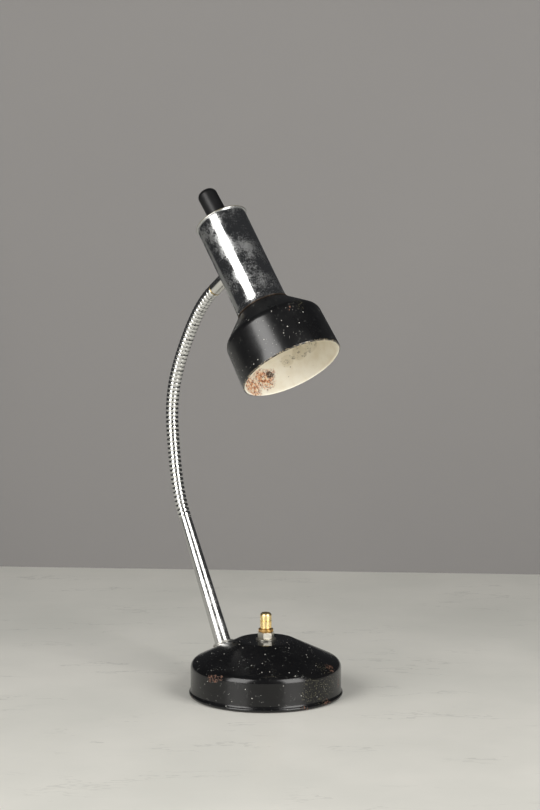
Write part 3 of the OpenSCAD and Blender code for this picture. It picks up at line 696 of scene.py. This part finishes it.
@dataclass
class Base:
    """The weighted base: a spun steel shell and its cord bushing, in millimetres and degrees."""

    cone_angle: float = 25.5
    shoulder: float = 6.0
    disc_edge: float = 4.0
    disc_radius: float = 20.0
    wall: float = 1.0
    proud: float = 1.2  # the bead over the drum
    bead: float = 1.4
    flare: tuple[Point, ...] = ((0.0, 5.0), (0.06, 4.2), (0.2, 3.6), (0.4, 3.2))
    lip: float = 1.8
    felt: float = 1.4
    hole: float = 3.95
    stem_hole: float = 4.3
    cord_hole: float = 4.45

    def drum(self) -> float:
        """The drum's radius."""
        return ORIGIN.extent("base_shell").radius - self.proud

    def bends(self) -> tuple[Point, Point]:
        """The middles of the bends at disc and shoulder, so that the cone touches both."""
        slope = math.radians(self.cone_angle)
        tilt = math.pi / 2 - slope
        edge_x = self.disc_radius - self.disc_edge * math.tan(slope / 2)
        edge_z = ORIGIN.extent("base_shell").high - self.disc_edge
        turn_x = self.drum() - self.shoulder
        grown = self.shoulder - self.disc_edge
        fall = (turn_x - edge_x + grown * math.cos(tilt)) * math.tan(slope)
        return (edge_x, edge_z), (turn_x, edge_z - fall - grown * math.sin(tilt))

    def skin(self) -> Outline:
        """The open outline of the outside, from the switch's hole to the top of the drum."""
        edge, turn = self.bends()
        steep = 90 - self.cone_angle
        outline = Outline((self.hole, ORIGIN.extent("base_shell").high))
        outline.arc(edge, self.disc_edge, 90, steep, 10)
        return outline.arc(turn, self.shoulder, steep, 0, 14)

    def outline(self) -> Outline:
        """The closed outline of the whole shell, with its real wall."""
        edge, turn = self.bends()
        steep = 90 - self.cone_angle
        drum = self.drum()
        bead = (drum + self.proud - self.bead, self.bead + 0.4)
        lip = drum - self.wall - self.lip
        outline = self.skin().to(*((drum + out, height) for out, height in self.flare))
        outline.arc(bead, self.bead, 55, -90, 14)
        outline.to((lip, bead[1] - self.bead), (lip, self.felt), (drum - self.wall, self.felt))
        outline.arc(turn, self.shoulder - self.wall, 0, steep, 8)
        outline.arc(edge, self.disc_edge - self.wall, steep, 90, 6)
        return outline.to((self.hole, outline.points[0][1] - self.wall)).closed()

    def shell(self) -> Piece:
        """Spins the shell and drills it for stem and cord."""
        shell = turned("base_enamel_shell", self.outline(), 160)
        stem = stem_place()
        foot = stem.moved(stem.extent("stem_ring").low)
        drill(shell, self.stem_hole, 10, foot.matrix())
        drill(shell, self.cord_hole, 6, Matrix.Translation(middle_of("cord_bushing")) @ SIDEWAYS)
        return shell

    def dress(self) -> None:
        """Builds shell and bushing, with rust and dots where they show."""
        wall = self.drum()
        worn = (
            Wear(-89, wall, 20.0, 3.4, 0.9),
            Wear(-84, wall, 20.6, 3.6, 0.9),
            Wear(-79, wall, 22.0, 2.6, 0.8),
            Wear(19, wall - 3, 24.0, 5.0, 0.75),
            Wear(28, wall, 12.0, 5.0, 0.5),
            Wear(8, wall + 1, 0.5, 6.0, 0.7),
            Wear(-14, wall + 1, 0.0, 5.0, 0.5),
            Wear(-115, wall + 1, 0.0, 4.0, 0.5),
        )
        dotted = (
            Wear(-8, wall, 13.0, 9.0, 0.6),
            Wear(3, wall, 11.0, 11.0, 0.9),
            Wear(13, wall, 14.0, 9.0, 0.8),
            Wear(12, wall - 5, 25.0, 8.0, 0.5),
            Wear(100, wall, 10.0, 9.0, 0.6),
        )
        enamel = Enamel("base_enamel", ORIGIN, worn, dotted).make()
        stands_for(self.shell(), "base_shell", "base", Slot.ENAMEL, enamel)
        self.bushing()

    def bushing(self) -> None:
        """Turns the cord bushing, whose flanges clip on both sides of the wall."""
        back = Place(middle_of("cord_bushing"), -math.pi / 2)
        low, high, rim = back.extent("cord_bushing")
        bore, barrel, flange, edge = 3.2, 4.4, 1.6, 0.5
        outline = Outline((bore, low + 0.3), (bore + 0.3, low), (rim, low), (rim, low + flange))
        outline.to((barrel, low + flange), (barrel, high - flange), (rim, high - flange))
        outline.to((rim, high - edge), (rim - 0.15, high - 0.15), (rim - edge, high))
        outline.to((bore + 0.4, high), (bore + 0.1, high - 0.15), (bore, high - 0.5)).closed()
        piece = put(turned("cord_inlet_bushing", outline, 64), back.matrix())
        stands_for(piece, "cord_bushing", "base", Slot.PHENOLIC, PHENOLIC.make())


@dataclass
class Switch:
    """The rotary switch's outside: washer, hexagon nut, knurled ring nut and fluted knob."""

    hole: float = 3.95
    shaft: float = 2.05
    flutes: int = 10
    knurls: int = 36

    def washer(self) -> Piece:
        """The flat washer on the disc."""
        low, high, rim = ORIGIN.extent("switch_washer")
        outline = Outline((self.hole, low), (rim - 0.1, low), (rim, low + 0.2), (rim, high - 0.3))
        outline.to((rim - 0.3, high), (self.hole, high)).closed()
        return turned("switch_flat_washer", outline, 80)

    def nut(self) -> Piece:
        """The hexagon nut, with its corners chamfered by a double cone."""
        low, high, corner = ORIGIN.extent("switch_nut")
        chamfer = 0.55
        piece = put(rod(corner, high - low, 6), ORIGIN.moved((high + low) / 2).matrix())
        piece.name = "switch_hex_nut"
        reach = corner + 0.05
        flat = reach - 2.2 * chamfer
        outline = Outline((0, low), (flat, low), (reach, low + chamfer), (reach, high - chamfer))
        cut(piece, turned("nut_chamfer", outline.to((flat, high), (0, high))), "INTERSECT")
        drill(piece, self.hole, 20, ORIGIN.moved(low).matrix())
        # the new hexagon has a corner on +Y, the CAD node has one on +X
        return put(piece, Matrix.Rotation(math.pi / 2, 4, "Z"))

    def ring(self) -> Piece:
        """The round nut, knurled on its rim."""
        low, high, rim = ORIGIN.extent("switch_ring_nut")
        outline = Outline((self.hole, low), (rim - 0.4, low), (rim, low + 0.35), (rim, high - 0.45))
        outline.to((rim - 0.15, high - 0.2), (rim - 0.6, high), (self.hole, high)).closed()
        piece = turned("switch_knurled_nut", outline, 2 * self.knurls, 28)
        faces_where(piece, facets(rim, math.tau / self.knurls, 0.5, low, high))
        bpy.ops.mesh.inset(thickness=0.08 * MM, depth=-0.16 * MM, use_individual=True)
        edit_done(28)
        return piece

    def knob(self) -> Piece:
        """The knob: flutes round its lower half, a band of notches above them and a domed top."""
        low, high, r = ORIGIN.extent("switch_knob")
        middle = (low + high) / 2
        dome = 2.2
        outline = Outline((self.shaft, low), (r - 0.25, low), (r, low + 0.25), (r, low + 0.6))
        outline.to((r, middle - 0.5), (r, middle - 0.25), (r - 0.25, middle), (r, middle + 0.25))
        outline.to((r, middle + 0.9), (r, high - dome - 0.5))
        outline.arc((r - dome, high - dome), dome, 0, 62, 8)
        outline.to((r - 1.6, high - 0.12), (r - 2.1, high - 0.02), (0, high))
        piece = turned("switch_fluted_knob", outline, 8 * self.flutes, 30)
        step = math.tau / self.flutes
        flutes = facets(r, step, 0.5, low + 0.6, middle - 0.5)
        notches = facets(r, step, 0.25, middle + 0.25, middle + 0.9)
        for test, depth in ((flutes, 0.3), (notches, 0.2)):
            faces_where(piece, test)
            bpy.ops.mesh.inset(thickness=0.12 * MM, depth=-depth * MM)
            edit_done(30)
        return piece

    def dress(self) -> None:
        """Builds and plates the switch."""
        nickel = Plating("nickel_plate", paint(222, 218, 206), 0.32, 0.3).make()
        bright = Plating("polished_brass", paint(250, 224, 164), 0.3, 0.3).make()
        tarnished = Plating("tarnished_brass", paint(196, 158, 92), 0.3, 0.6).make()
        stands_for(self.washer(), "switch_washer", "base", Slot.NICKEL, nickel)
        stands_for(self.nut(), "switch_nut", "base", Slot.NICKEL, nickel)
        stands_for(self.ring(), "switch_ring_nut", "base", Slot.BRASS, tarnished)
        stands_for(self.knob(), "switch_knob", "switch", Slot.BRASS, bright)


@dataclass
class Stem:
    """The slanting chrome stem and the ring at its foot."""

    foot: float = 5.8
    top: float = 4.3
    wall: float = 0.8
    bore: float = 3.95
    bead: float = 0.9
    gap: Point = (0.03, 0.05)
    place: Place = field(default_factory=stem_place)

    def ring(self) -> Piece:
        """The ring, with a rounded bead and a step, cut to the cone under it."""
        _, top, rim = self.place.extent("stem_ring")
        side, foot = rim - 0.6, self.foot
        outline = Outline((self.bore, top - 5), (side, top - 5), (side, top - 2.1))
        outline.arc((rim - self.bead, top - 1.3), self.bead, -60, 80, 12)
        outline.to((rim - 1.25, top - 0.35), (foot + 0.15, top - 0.3), (foot + 0.1, top))
        outline.to((self.bore, top)).closed()
        piece = put(turned("stem_foot_ring", outline), self.place.matrix())
        out, up = self.gap
        skin = [(radius + out, height + up) for radius, height in Base().skin().points]
        seat = Outline((0, skin[0][1]), *skin, (skin[-1][0], 0), (0, 0))
        cut(piece, turned("ring_seat", seat, 160))
        return piece

    def tube(self) -> Piece:
        """The tapering tube, with a small bead at its top."""
        low, high, _ = self.place.extent("stem_tube")
        top, bead = self.top, self.top + 0.18
        outline = Outline((self.foot - self.wall, low), (self.foot, low))
        outline.part_way((top, high), range(1, 12), 12)
        outline.to((top, high - 1.3), (bead, high - 1.1), (bead, high - 0.25))
        outline.to((top - 0.05, high), (top - self.wall, high)).closed()
        return put(turned("stem_chrome_tube", outline), self.place.matrix())

    def dress(self) -> None:
        """Builds and plates the stem."""
        chrome = Plating("stem_chrome", paint(204, 204, 202), 0.17, 0.7, self.place).make()
        satin = Plating("ring_chrome", paint(226, 224, 218), 0.38, 0.6, self.place).make()
        stands_for(self.ring(), "stem_ring", "base", Slot.CHROME, satin)
        stands_for(self.tube(), "stem_tube", "base", Slot.CHROME, chrome)


@dataclass
class Gooseneck:
    """The ribbed hose: a rigid length for each body, with a ball at its top and a cup below."""

    crest: float = 4.55
    groove: float = 0.56
    pitch: float = 3.25
    ridges: int = 4
    shoulder: tuple[Point, ...] = ((0.54, 0.12), (0.25, 0.19), (0.13, 0.5), (0.04, 1.0), (0.0, 1.4))
    ball: float = 3.6
    cup: float = 3.75
    room: float = 0.31  # what a length leaves free before a joint
    edge: float = 0.04  # what the outermost ridges leave free beyond that

    def straight(self, ridges: int, has_cup: bool, has_ball: bool) -> Piece:
        """A straight length of hose from z = 0, with cup and ball where it turns on others."""
        length = ridges * self.pitch
        low = self.room if has_cup else 0.0
        high = length - self.room if has_ball else length
        outline = Outline((0, self.cup if has_cup else low))
        if has_cup:
            outline.arc((0, 0), self.cup, 90, math.degrees(math.asin(low / self.cup)), 10)
        root = self.crest - self.groove
        outline.to((root, low))
        for ridge in range(ridges):
            foot, top = ridge * self.pitch, (ridge + 1) * self.pitch
            for depth, along in self.shoulder:
                outline.to((self.crest - depth, max(foot + along, low + self.edge)))
            for depth, along in reversed(self.shoulder):
                outline.to((self.crest - depth, min(top - along, high - self.edge)))
            outline.to((root, min(top, high)))
        if has_ball:
            neck = math.degrees(math.asin(-self.room / self.ball))
            outline.arc((0, length), self.ball, neck, 90, 10)
        else:
            outline.to((0, high))
        return turned("hose_stretch", outline, 48, 60)

    def bent(self, piece: Piece, start: Place, end: Place) -> None:
        """Bends a straight length along a curve between two places."""
        third = (end.origin - start.origin).length / 3
        line = bpy.data.curves.new("hose_line", "CURVE")
        line.dimensions = "3D"
        line.resolution_u = 32
        spline = line.splines.new("BEZIER")
        spline.bezier_points.add(1)
        for point, place in zip(spline.bezier_points, (start, end)):
            point.co = place.origin
            point.handle_left_type = point.handle_right_type = "FREE"
            point.handle_left = place.origin - place.up() * third
            point.handle_right = place.origin + place.up() * third
        guide = bpy.data.objects.new("hose_line", line)
        bpy.context.scene.collection.objects.link(guide)
        only(piece)
        modifier = piece.modifiers.new("bend", "CURVE")
        modifier.object = guide
        modifier.deform_axis = "POS_Z"
        bpy.ops.object.modifier_apply(modifier=modifier.name)
        bpy.data.objects.remove(guide)

    def places(self) -> list[Place]:
        """The hose's foot, joints and top, each with the lean that the hose has there."""
        joints = [Vector(joint["pos_m"]) for joint in NECK]
        stem = stem_place()
        leans = [lean_of(high - low) for low, high in zip(joints, joints[1:])]
        leans = [stem.lean, *leans, head_place().lean + math.pi / 2]
        half = self.ridges * self.pitch / 2
        means = [(below + above) / 2 for below, above in zip(leans, leans[1:])]
        turns = [Place(joint, lean) for joint, lean in zip(joints, means)]
        return [stem.moved(-half), *turns, Place(joints[-1], leans[-1]).moved(half)]

    def dress(self) -> None:
        """Builds, bends and plates every length; the first and the last are half lengths."""
        chrome = Plating("hose_chrome", paint(222, 222, 220), 0.13, 0.2).make()
        places = self.places()
        bodies = [NECK[0]["parent"]] + [joint["child"] for joint in NECK]
        last = len(bodies) - 1
        for number, body in enumerate(bodies):
            ridges = self.ridges if 0 < number < last else self.ridges // 2
            piece = self.straight(ridges, number > 0, number < last)
            piece.name = piece.data.name = f"hose_{number:02d}"
            self.bent(piece, places[number], places[number + 1])
            node = frame["record"]["behaviour"]["bodies"][body][0] if number else "gooseneck_foot"
            stands_for(piece, node, body, Slot.CHROME, chrome)


@dataclass
class Ferrule:
    """The ferrule between gooseneck and head, its brass ring and the saddle on the tube."""

    bore: float = 3.05
    ring_bore: float = 3.4
    swivel_bore: float = 3.06
    seat: float = 1.05  # how far inside the tube's rolled rim the saddle is cut
    head: Place = field(default_factory=head_place)

    def dress(self) -> None:
        """Builds and plates the ferrule."""
        place = Place(self.head.origin, self.head.lean + math.pi / 2)
        chrome = Plating("ferrule_chrome", paint(214, 213, 208), 0.16, 0.45, place).make()
        brass = Plating("worn_brass", paint(190, 170, 128), 0.3, 0.6, place).make()
        low, high, r = place.extent("ferrule")
        outline = Outline((self.bore, low), (r - 0.2, low), (r, low + 0.25), (r, low + 1.0))
        outline.to((r, high - 1.2), (r, high - 0.2), (r - 0.2, high), (self.bore, high)).closed()
        sleeve = put(turned("ferrule_sleeve", outline, 72), place.matrix())
        stands_for(sleeve, "ferrule", "neck_end", Slot.CHROME, chrome)
        low, high, r = place.extent("ferrule_ring")
        outline = Outline((self.ring_bore, low), (r - 0.3, low))
        outline.arc((r - 0.5, (low + high) / 2), 0.5, -80, 80, 8)
        outline.to((r - 0.3, high), (self.ring_bore, high)).closed()
        ring = put(turned("ferrule_brass_ring", outline, 72), place.matrix())
        stands_for(ring, "ferrule_ring", "neck_end", Slot.BRASS, brass)
        low, high, r = place.extent("saddle_seat")
        bore = self.swivel_bore
        outline = Outline((bore, low), (r - 0.3, low), (r, low + 0.3), (r, high + 1))
        saddle = turned("swivel_saddle", outline.to((bore, high + 1)).closed(), 72)
        tube = self.head.extent("head_tube").radius - self.seat
        drill(put(saddle, place.matrix()), tube, 30, self.head.matrix(), 256)
        stands_for(saddle, "saddle_seat", "head", Slot.CHROME, chrome)


@dataclass
class Head:
    """The lamp's head: chrome tube, cap, handle, bell shade with its cream inside, and bulb."""

    wall: float = 0.8
    proud: float = 1.1
    roll: float = 0.6
    swivel_hole: float = 3.06
    foot: tuple[Point, ...] = ((0.95, 0.3), (0.62, 0.9), (0.34, 1.8), (0.12, 3.2), (0.0, 5.0))
    cone: float = 16.4
    rounding: float = 7.0
    barrel: float = 35.0  # radius where cone and barrel would meet
    collar: float = 6.0
    skin: float = 0.9
    hem: float = 0.8
    place: Place = field(default_factory=head_place)

    def tube(self) -> Piece:
        """The tube with its rolled rim, drilled for the swivel."""
        low, top, rim = self.place.extent("head_tube")
        outer, roll = rim - self.proud, self.roll
        inner = outer - self.wall
        length = top - 3.4 - low
        outline = Outline((inner, low), (rim, low))
        outline.to(*((outer + out, low + up) for out, up in self.foot))
        outline.to(*((outer, low + length * step / 6) for step in range(2, 7)))
        outline.to((outer, top - 2 * roll - 0.1))
        outline.arc((rim - roll, top - roll), roll, -90, 150, 16).to((inner, top - roll)).closed()
        piece = turned("head_chrome_tube", outline, 160)
        drill(piece, self.swivel_hole, 6, Matrix.Translation((-outer * MM, 0, 0)) @ SIDEWAYS)
        chrome = Plating("tube_chrome", paint(204, 205, 205), 0.08, 1.0, self.place, low)
        worn = Plain("rim_worn", paint(182, 174, 146), paint(140, 132, 108), 0.4, 1.0, 0.04, 0.4)
        coat(piece, chrome.make(), worn.make())
        second_coat(piece, lambda centre, normal: centre.z > top - roll)
        return put(piece, self.place.matrix())

    def cap(self) -> Piece:
        """The pressed cap that closes the tube."""
        low, top, r = self.place.extent("head_cap")
        hole = 2.3
        outline = Outline((hole, top - 1), (r - 1.6, top - 1), (r - 1, top - 1.6), (r - 1, low))
        outline.to((r, low), (r, top - 0.6), (r - 0.2, top - 0.2), (r - 0.6, top), (hole, top))
        return put(turned("head_end_cap", outline.closed()), self.place.matrix())

    def handle(self) -> Piece:
        """The turned handle, which leans a little to the back and is cut flat on the cap."""
        cap = self.place.extent("head_cap").high
        screw = self.place.matrix().inverted() @ middle_of("handle_screw") / MM
        lean = math.atan2(screw.x, screw.z - cap)
        own = Place(self.place.moved(cap).origin, self.place.lean + lean)
        r, top, edge = 7.0, own.extent("handle").high, 4.0
        outline = Outline((2.0, -1), (r - 0.1, -1), (r - 0.1, 0.5), (r, 1.0))
        outline.part_way((r, top - edge - 1), range(1, 5), 4)
        outline.arc((r - edge, top - edge), edge, 0, 90, 14).to((0, top))
        piece = put(turned("aiming_handle", outline), own.matrix())
        gap, block = 0.05, 100.0
        nothing_selected()
        bpy.ops.mesh.primitive_cube_add(size=block * MM)
        tool = bpy.context.object
        tool.matrix_world = self.place.moved(cap + gap - block / 2).matrix()
        cut(piece, tool)
        return piece

    def shade_outline(self) -> Outline:
        """The shade's closed outline, outside and inside."""
        mouth, high, rim = self.place.extent("shade")
        top, skin = high - self.collar, self.skin
        tube = self.place.extent("head_tube").radius - self.proud
        neck, collar = tube + 0.3, tube - self.wall - 0.05
        slope = math.atan2(self.cone, self.barrel - neck)
        flare = math.atan2(rim - self.barrel, top - mouth - self.cone)
        reach = self.rounding * math.tan((math.pi / 2 - flare - slope) / 2)
        # the bend's middle lies square to the cone under the point where the bend starts
        middle = (
            self.barrel - reach * math.cos(slope) - self.rounding * math.sin(slope),
            top - self.cone + reach * math.sin(slope) - self.rounding * math.cos(slope),
        )
        above, below = 90 - math.degrees(slope), math.degrees(flare)
        step_in = neck - skin * (math.sin(slope) - (1 - math.cos(slope)) / math.tan(slope))
        outline = Outline((collar - skin, high), (collar, high), (collar, top), (neck, top))
        outline.arc(middle, self.rounding, above, below, 16)
        outline.part_way((rim, mouth + self.hem), range(1, 4), 4)
        outline.arc((rim - self.hem, mouth + self.hem), self.hem, below, -180, 12)
        outline.to((rim - skin, mouth + 3 * self.hem))
        outline.arc(middle, self.rounding - skin, below, above, 12)
        return outline.to((step_in, top - skin), (collar - skin, top - skin)).closed()

    def shade(self) -> Piece:
        """The shade: black outside and cream inside."""
        piece = turned("bell_shade", self.shade_outline(), 192)
        mouth = self.place.extent("shade").low
        worn = (Wear(-20, 35.0, mouth + 28, 2.6, 0.6), Wear(150, 34.0, mouth + 20, 4.0, 0.7))
        dotted = (Wear(-8, 34.0, mouth + 31, 6.0, 0.5), Wear(-112, 33.0, mouth + 33, 5.0, 0.5))
        peeling = (
            Wear(170, 34.6, mouth + 12.5, 9.5, 0.8),
            Wear(-166, 34.6, mouth + 7.0, 10.0, 0.9),
            Wear(158, 34.6, mouth + 15.0, 5.0, 0.4),
        )
        stained = (
            Wear(134, 34.0, mouth + 20.0, 5.5, 1.0),
            Wear(118, 34.0, mouth + 21.0, 6.5, 1.0),
            Wear(98, 34.0, mouth + 22.0, 7.0, 0.8),
            Wear(76, 34.0, mouth + 21.0, 7.0, 0.6),
        )
        burnt = Wear(160, 34.4, mouth + 14.5, 3.2, 1.0)
        outside = Enamel("shade_enamel", self.place, worn, dotted, rim=mouth, dull=0.1)
        cream = CreamCoat("shade_cream", self.place, peeling, stained, burnt)
        coat(piece, outside.make(), cream.make())

        def inside(centre: Vector, normal: Vector) -> bool:
            """Whether a face looks at the bulb."""
            inwards = normal.xy.dot(centre.xy.normalized()) < -0.25
            return inwards or (centre.z > mouth + 30 and normal.z < -0.3)

        second_coat(piece, inside)
        return put(piece, self.place.matrix())

    def glass(self) -> Piece:
        """The opal bulb."""
        low, high, globe = self.place.extent("bulb_glass")
        neck, centre = 11.4, low + globe
        join = math.degrees(math.acos(neck / globe))
        outline = Outline((neck, high), (neck, high - 4))
        outline.to((neck, centre + globe * math.sin(math.radians(join)) + 1.5))
        outline.arc((0, centre), globe, join - 4, -90, 28)
        return put(turned("bulb_opal_glass", outline, 96, 60), self.place.matrix())

    def screw_base(self) -> Piece:
        """The bulb's screw base, with the thread's rounds."""
        low, top, r = self.place.extent("bulb_base")
        first, rounds = low + 1.5, 5
        pitch = (top - 5 - first) / rounds
        outline = Outline((0, low), (r - 0.6, low), (r - 0.2, first))
        for turn in range(rounds):
            for depth, share in ((0.7, 0.2), (0.1, 0.6), (0.2, 0.8)):
                outline.to((r - depth, first + (turn + share) * pitch))
        outline.to((r - 0.7, top - 4.6), (r - 1.2, top - 4), (4.2, top - 0.9), (3.6, top), (0, top))
        return put(turned("bulb_screw_base", outline, 72), self.place.matrix())

    def dress(self) -> None:
        """Builds the head and finishes it."""
        zinc = Plain("dull_zinc", paint(150, 148, 142), paint(118, 114, 104), 0.45, 1.2, 0.03, 0.8)
        opal = Plain("opal_glass", paint(236, 234, 226), paint(228, 225, 214), 0.16, 4.0, 0.01)
        nickel = PLAIN[Slot.NICKEL.value]
        stands_for(self.tube(), "head_tube", "head", Slot.CHROME)
        stands_for(self.cap(), "head_cap", "head", Slot.STEEL, zinc.make())
        stands_for(self.handle(), "handle", "head", Slot.PHENOLIC, PHENOLIC.make())
        stands_for(self.shade(), "shade", "head", Slot.ENAMEL)
        stands_for(self.glass(), "bulb_glass", "head", Slot.GLASS, opal.make())
        stands_for(self.screw_base(), "bulb_base", "head", Slot.NICKEL, nickel.make())


class Inner:
    """The CAD nodes that keep their shape and only take a better finish."""

    def dress(self) -> None:
        """Finishes every CAD node that still shows."""
        made = {slot: finish.make() for slot, finish in PLAIN.items()}
        slots = {part["node"]: part["material_slot"] for part in frame["record"]["subparts"]}
        for name, node in frame["nodes"].items():
            if node.hide_render:
                continue
            for holder in node.material_slots:
                holder.material = made[slots[name]]
            LOG.info("%s keeps its shape, in %s", name, slots[name])


# --- Studio ---


@dataclass
class Softbox:
    """One softbox: its place from the lamp and its size, in degrees and metres, and its power."""

    name: str
    azimuth: float
    distance: float
    height: float
    width: float
    tall: float
    watts: float


@dataclass
class Studio:
    """Table, wall, lights and camera, in degrees and metres; lens and film in millimetres."""

    azimuth: float = 47.0
    camera_at: tuple[float, float, float] = (1.0186, -0.9459, 0.360)
    down: float = 6.4
    lens: float = 89.9
    film: float = 36.0
    wall_away: float = 0.432
    wall_turn: float = 4.4
    wall_right: float = 0.22
    ambient: float = 0.25  # the world's strength for soft light
    room: float = 0.05  # the world's strength where it is seen
    tint: tuple[float, float, float] = (1.0, 0.985, 0.96)
    aim: tuple[float, float, float] = (0.0, 0.0, 0.16)
    boxes: tuple[Softbox, ...] = (
        Softbox("softbox_left", -43, 1.3, 0.68, 0.8, 1.2, 18.5),
        Softbox("softbox_right", 43, 1.3, 0.63, 0.75, 1.25, 18.5),
    )

    def camera(self) -> None:
        """Sets the camera where the photograph was taken from."""
        data = bpy.data.cameras.new("camera")
        data.sensor_fit = "VERTICAL"
        data.sensor_height = self.film
        data.lens = self.lens
        camera = bpy.data.objects.new("camera", data)
        camera.location = self.camera_at
        camera.rotation_euler = (math.radians(90 - self.down), 0, math.radians(self.azimuth))
        bpy.context.scene.collection.objects.link(camera)
        bpy.context.scene.camera = camera

    def plane(self, name: str, size: Point, place: Matrix, material: Material) -> Piece:
        """Adds a stage plane, with its sides in metres."""
        nothing_selected()
        bpy.ops.mesh.primitive_plane_add(size=1)
        plane = bpy.context.object
        plane.name = name
        plane.matrix_world = place @ Matrix.Diagonal((*size, 1, 1))
        coat(plane, material)
        return plane

    def table_finish(self) -> Material:
        """Makes the pale table's finish, with faint grey veins."""
        board = Board("pale_table")
        cloud = board.noise(board.where(), 60.0, 5.0)
        long = board.where(stretch=(0.3, 1.0, 1.0))
        vein = abs(board.noise(long, 18.0, 5.0, 0.65) - 0.5).over(0.012, 0.0)
        vein = vein * board.noise(long, 9.0).over(0.5, 0.6)
        colour = board.mix(cloud.over(0.3, 0.7), paint(217, 216, 208), paint(228, 226, 218))
        colour = board.mix(vein * 0.5, colour, paint(180, 179, 172))
        return board.finish(Base_Color=colour, Roughness=0.4)

    def wall_finish(self) -> Material:
        """Makes the wall's finish, which shows from its front only."""
        board = Board("grey_wall")
        drift = board.noise(board.where(), 400.0)
        tone = board.mix(drift, paint(121, 119, 118), paint(126, 124, 122))
        board.one_sided()
        return board.finish(Base_Color=tone, Roughness=0.9)

    def stage(self) -> None:
        """Adds the table and the wall behind it."""
        turn = math.radians(self.azimuth)
        behind = Vector((-math.sin(turn), math.cos(turn), 0)) * self.wall_away
        aside = Vector((math.cos(turn), math.sin(turn), 0)) * self.wall_right
        width, tall = 1.0, 0.8
        self.plane("table", (2.6, 2.6), Matrix.Rotation(turn, 4, "Z"), self.table_finish())
        facing = Matrix.Rotation(turn - math.radians(self.wall_turn), 4, "Z")
        upright = Matrix.Rotation(math.pi / 2, 4, "X")
        middle = Matrix.Translation(behind + aside + Vector((0, 0, tall / 2)))
        wall = self.plane("wall", (width, tall), middle @ facing @ upright, self.wall_finish())
        # it stands so near that it would light up the edges of the plating
        wall.visible_glossy = False

    def lights(self) -> None:
        """Adds the softboxes."""
        facing = self.azimuth - 90
        for box in self.boxes:
            angle = math.radians(facing + box.azimuth)
            data = bpy.data.lights.new(box.name, "AREA")
            data.shape = "RECTANGLE"
            data.size, data.size_y = box.width, box.tall
            data.energy = box.watts
            data.color = self.tint
            light = bpy.data.objects.new(box.name, data)
            light.visible_camera = False
            across, away = box.distance * math.cos(angle), box.distance * math.sin(angle)
            light.location = (across, away, box.height)
            sight = Vector(self.aim) - light.location
            light.rotation_euler = sight.to_track_quat("-Z", "Y").to_euler()
            bpy.context.scene.collection.objects.link(light)

    def world(self) -> None:
        """Makes the world, which is darker where it is seen than it lights the lamp."""
        board = Board("studio", "worlds", "BACKGROUND")
        camera = board.add("ShaderNodeLightPath", out="Is Camera Ray")
        seen = camera + camera.other("Is Glossy Ray") + camera.other("Is Transmission Ray")
        levels = {"Value": seen, "To Min": self.ambient, "To Max": self.room}
        strength = board.add("ShaderNodeMapRange", {}, levels)
        world = board.finish(Strength=strength, Color=paint(232, 234, 238))
        bpy.context.scene.world = world


def main() -> None:
    """Builds the lamp and its studio, piece by piece."""
    logging.basicConfig(level=logging.INFO, format="%(message)s")
    bpy.context.scene.view_settings.view_transform = "Standard"
    studio = Studio()
    studio.camera()
    for part in (Base(), Switch(), Stem(), Gooseneck(), Ferrule(), Head(), Inner()):
        LOG.info("-- %s", type(part).__name__)
        part.dress()
    nothing_selected()
    studio.stage()
    studio.lights()
    studio.world()


if __name__ == "__main__":
    main()
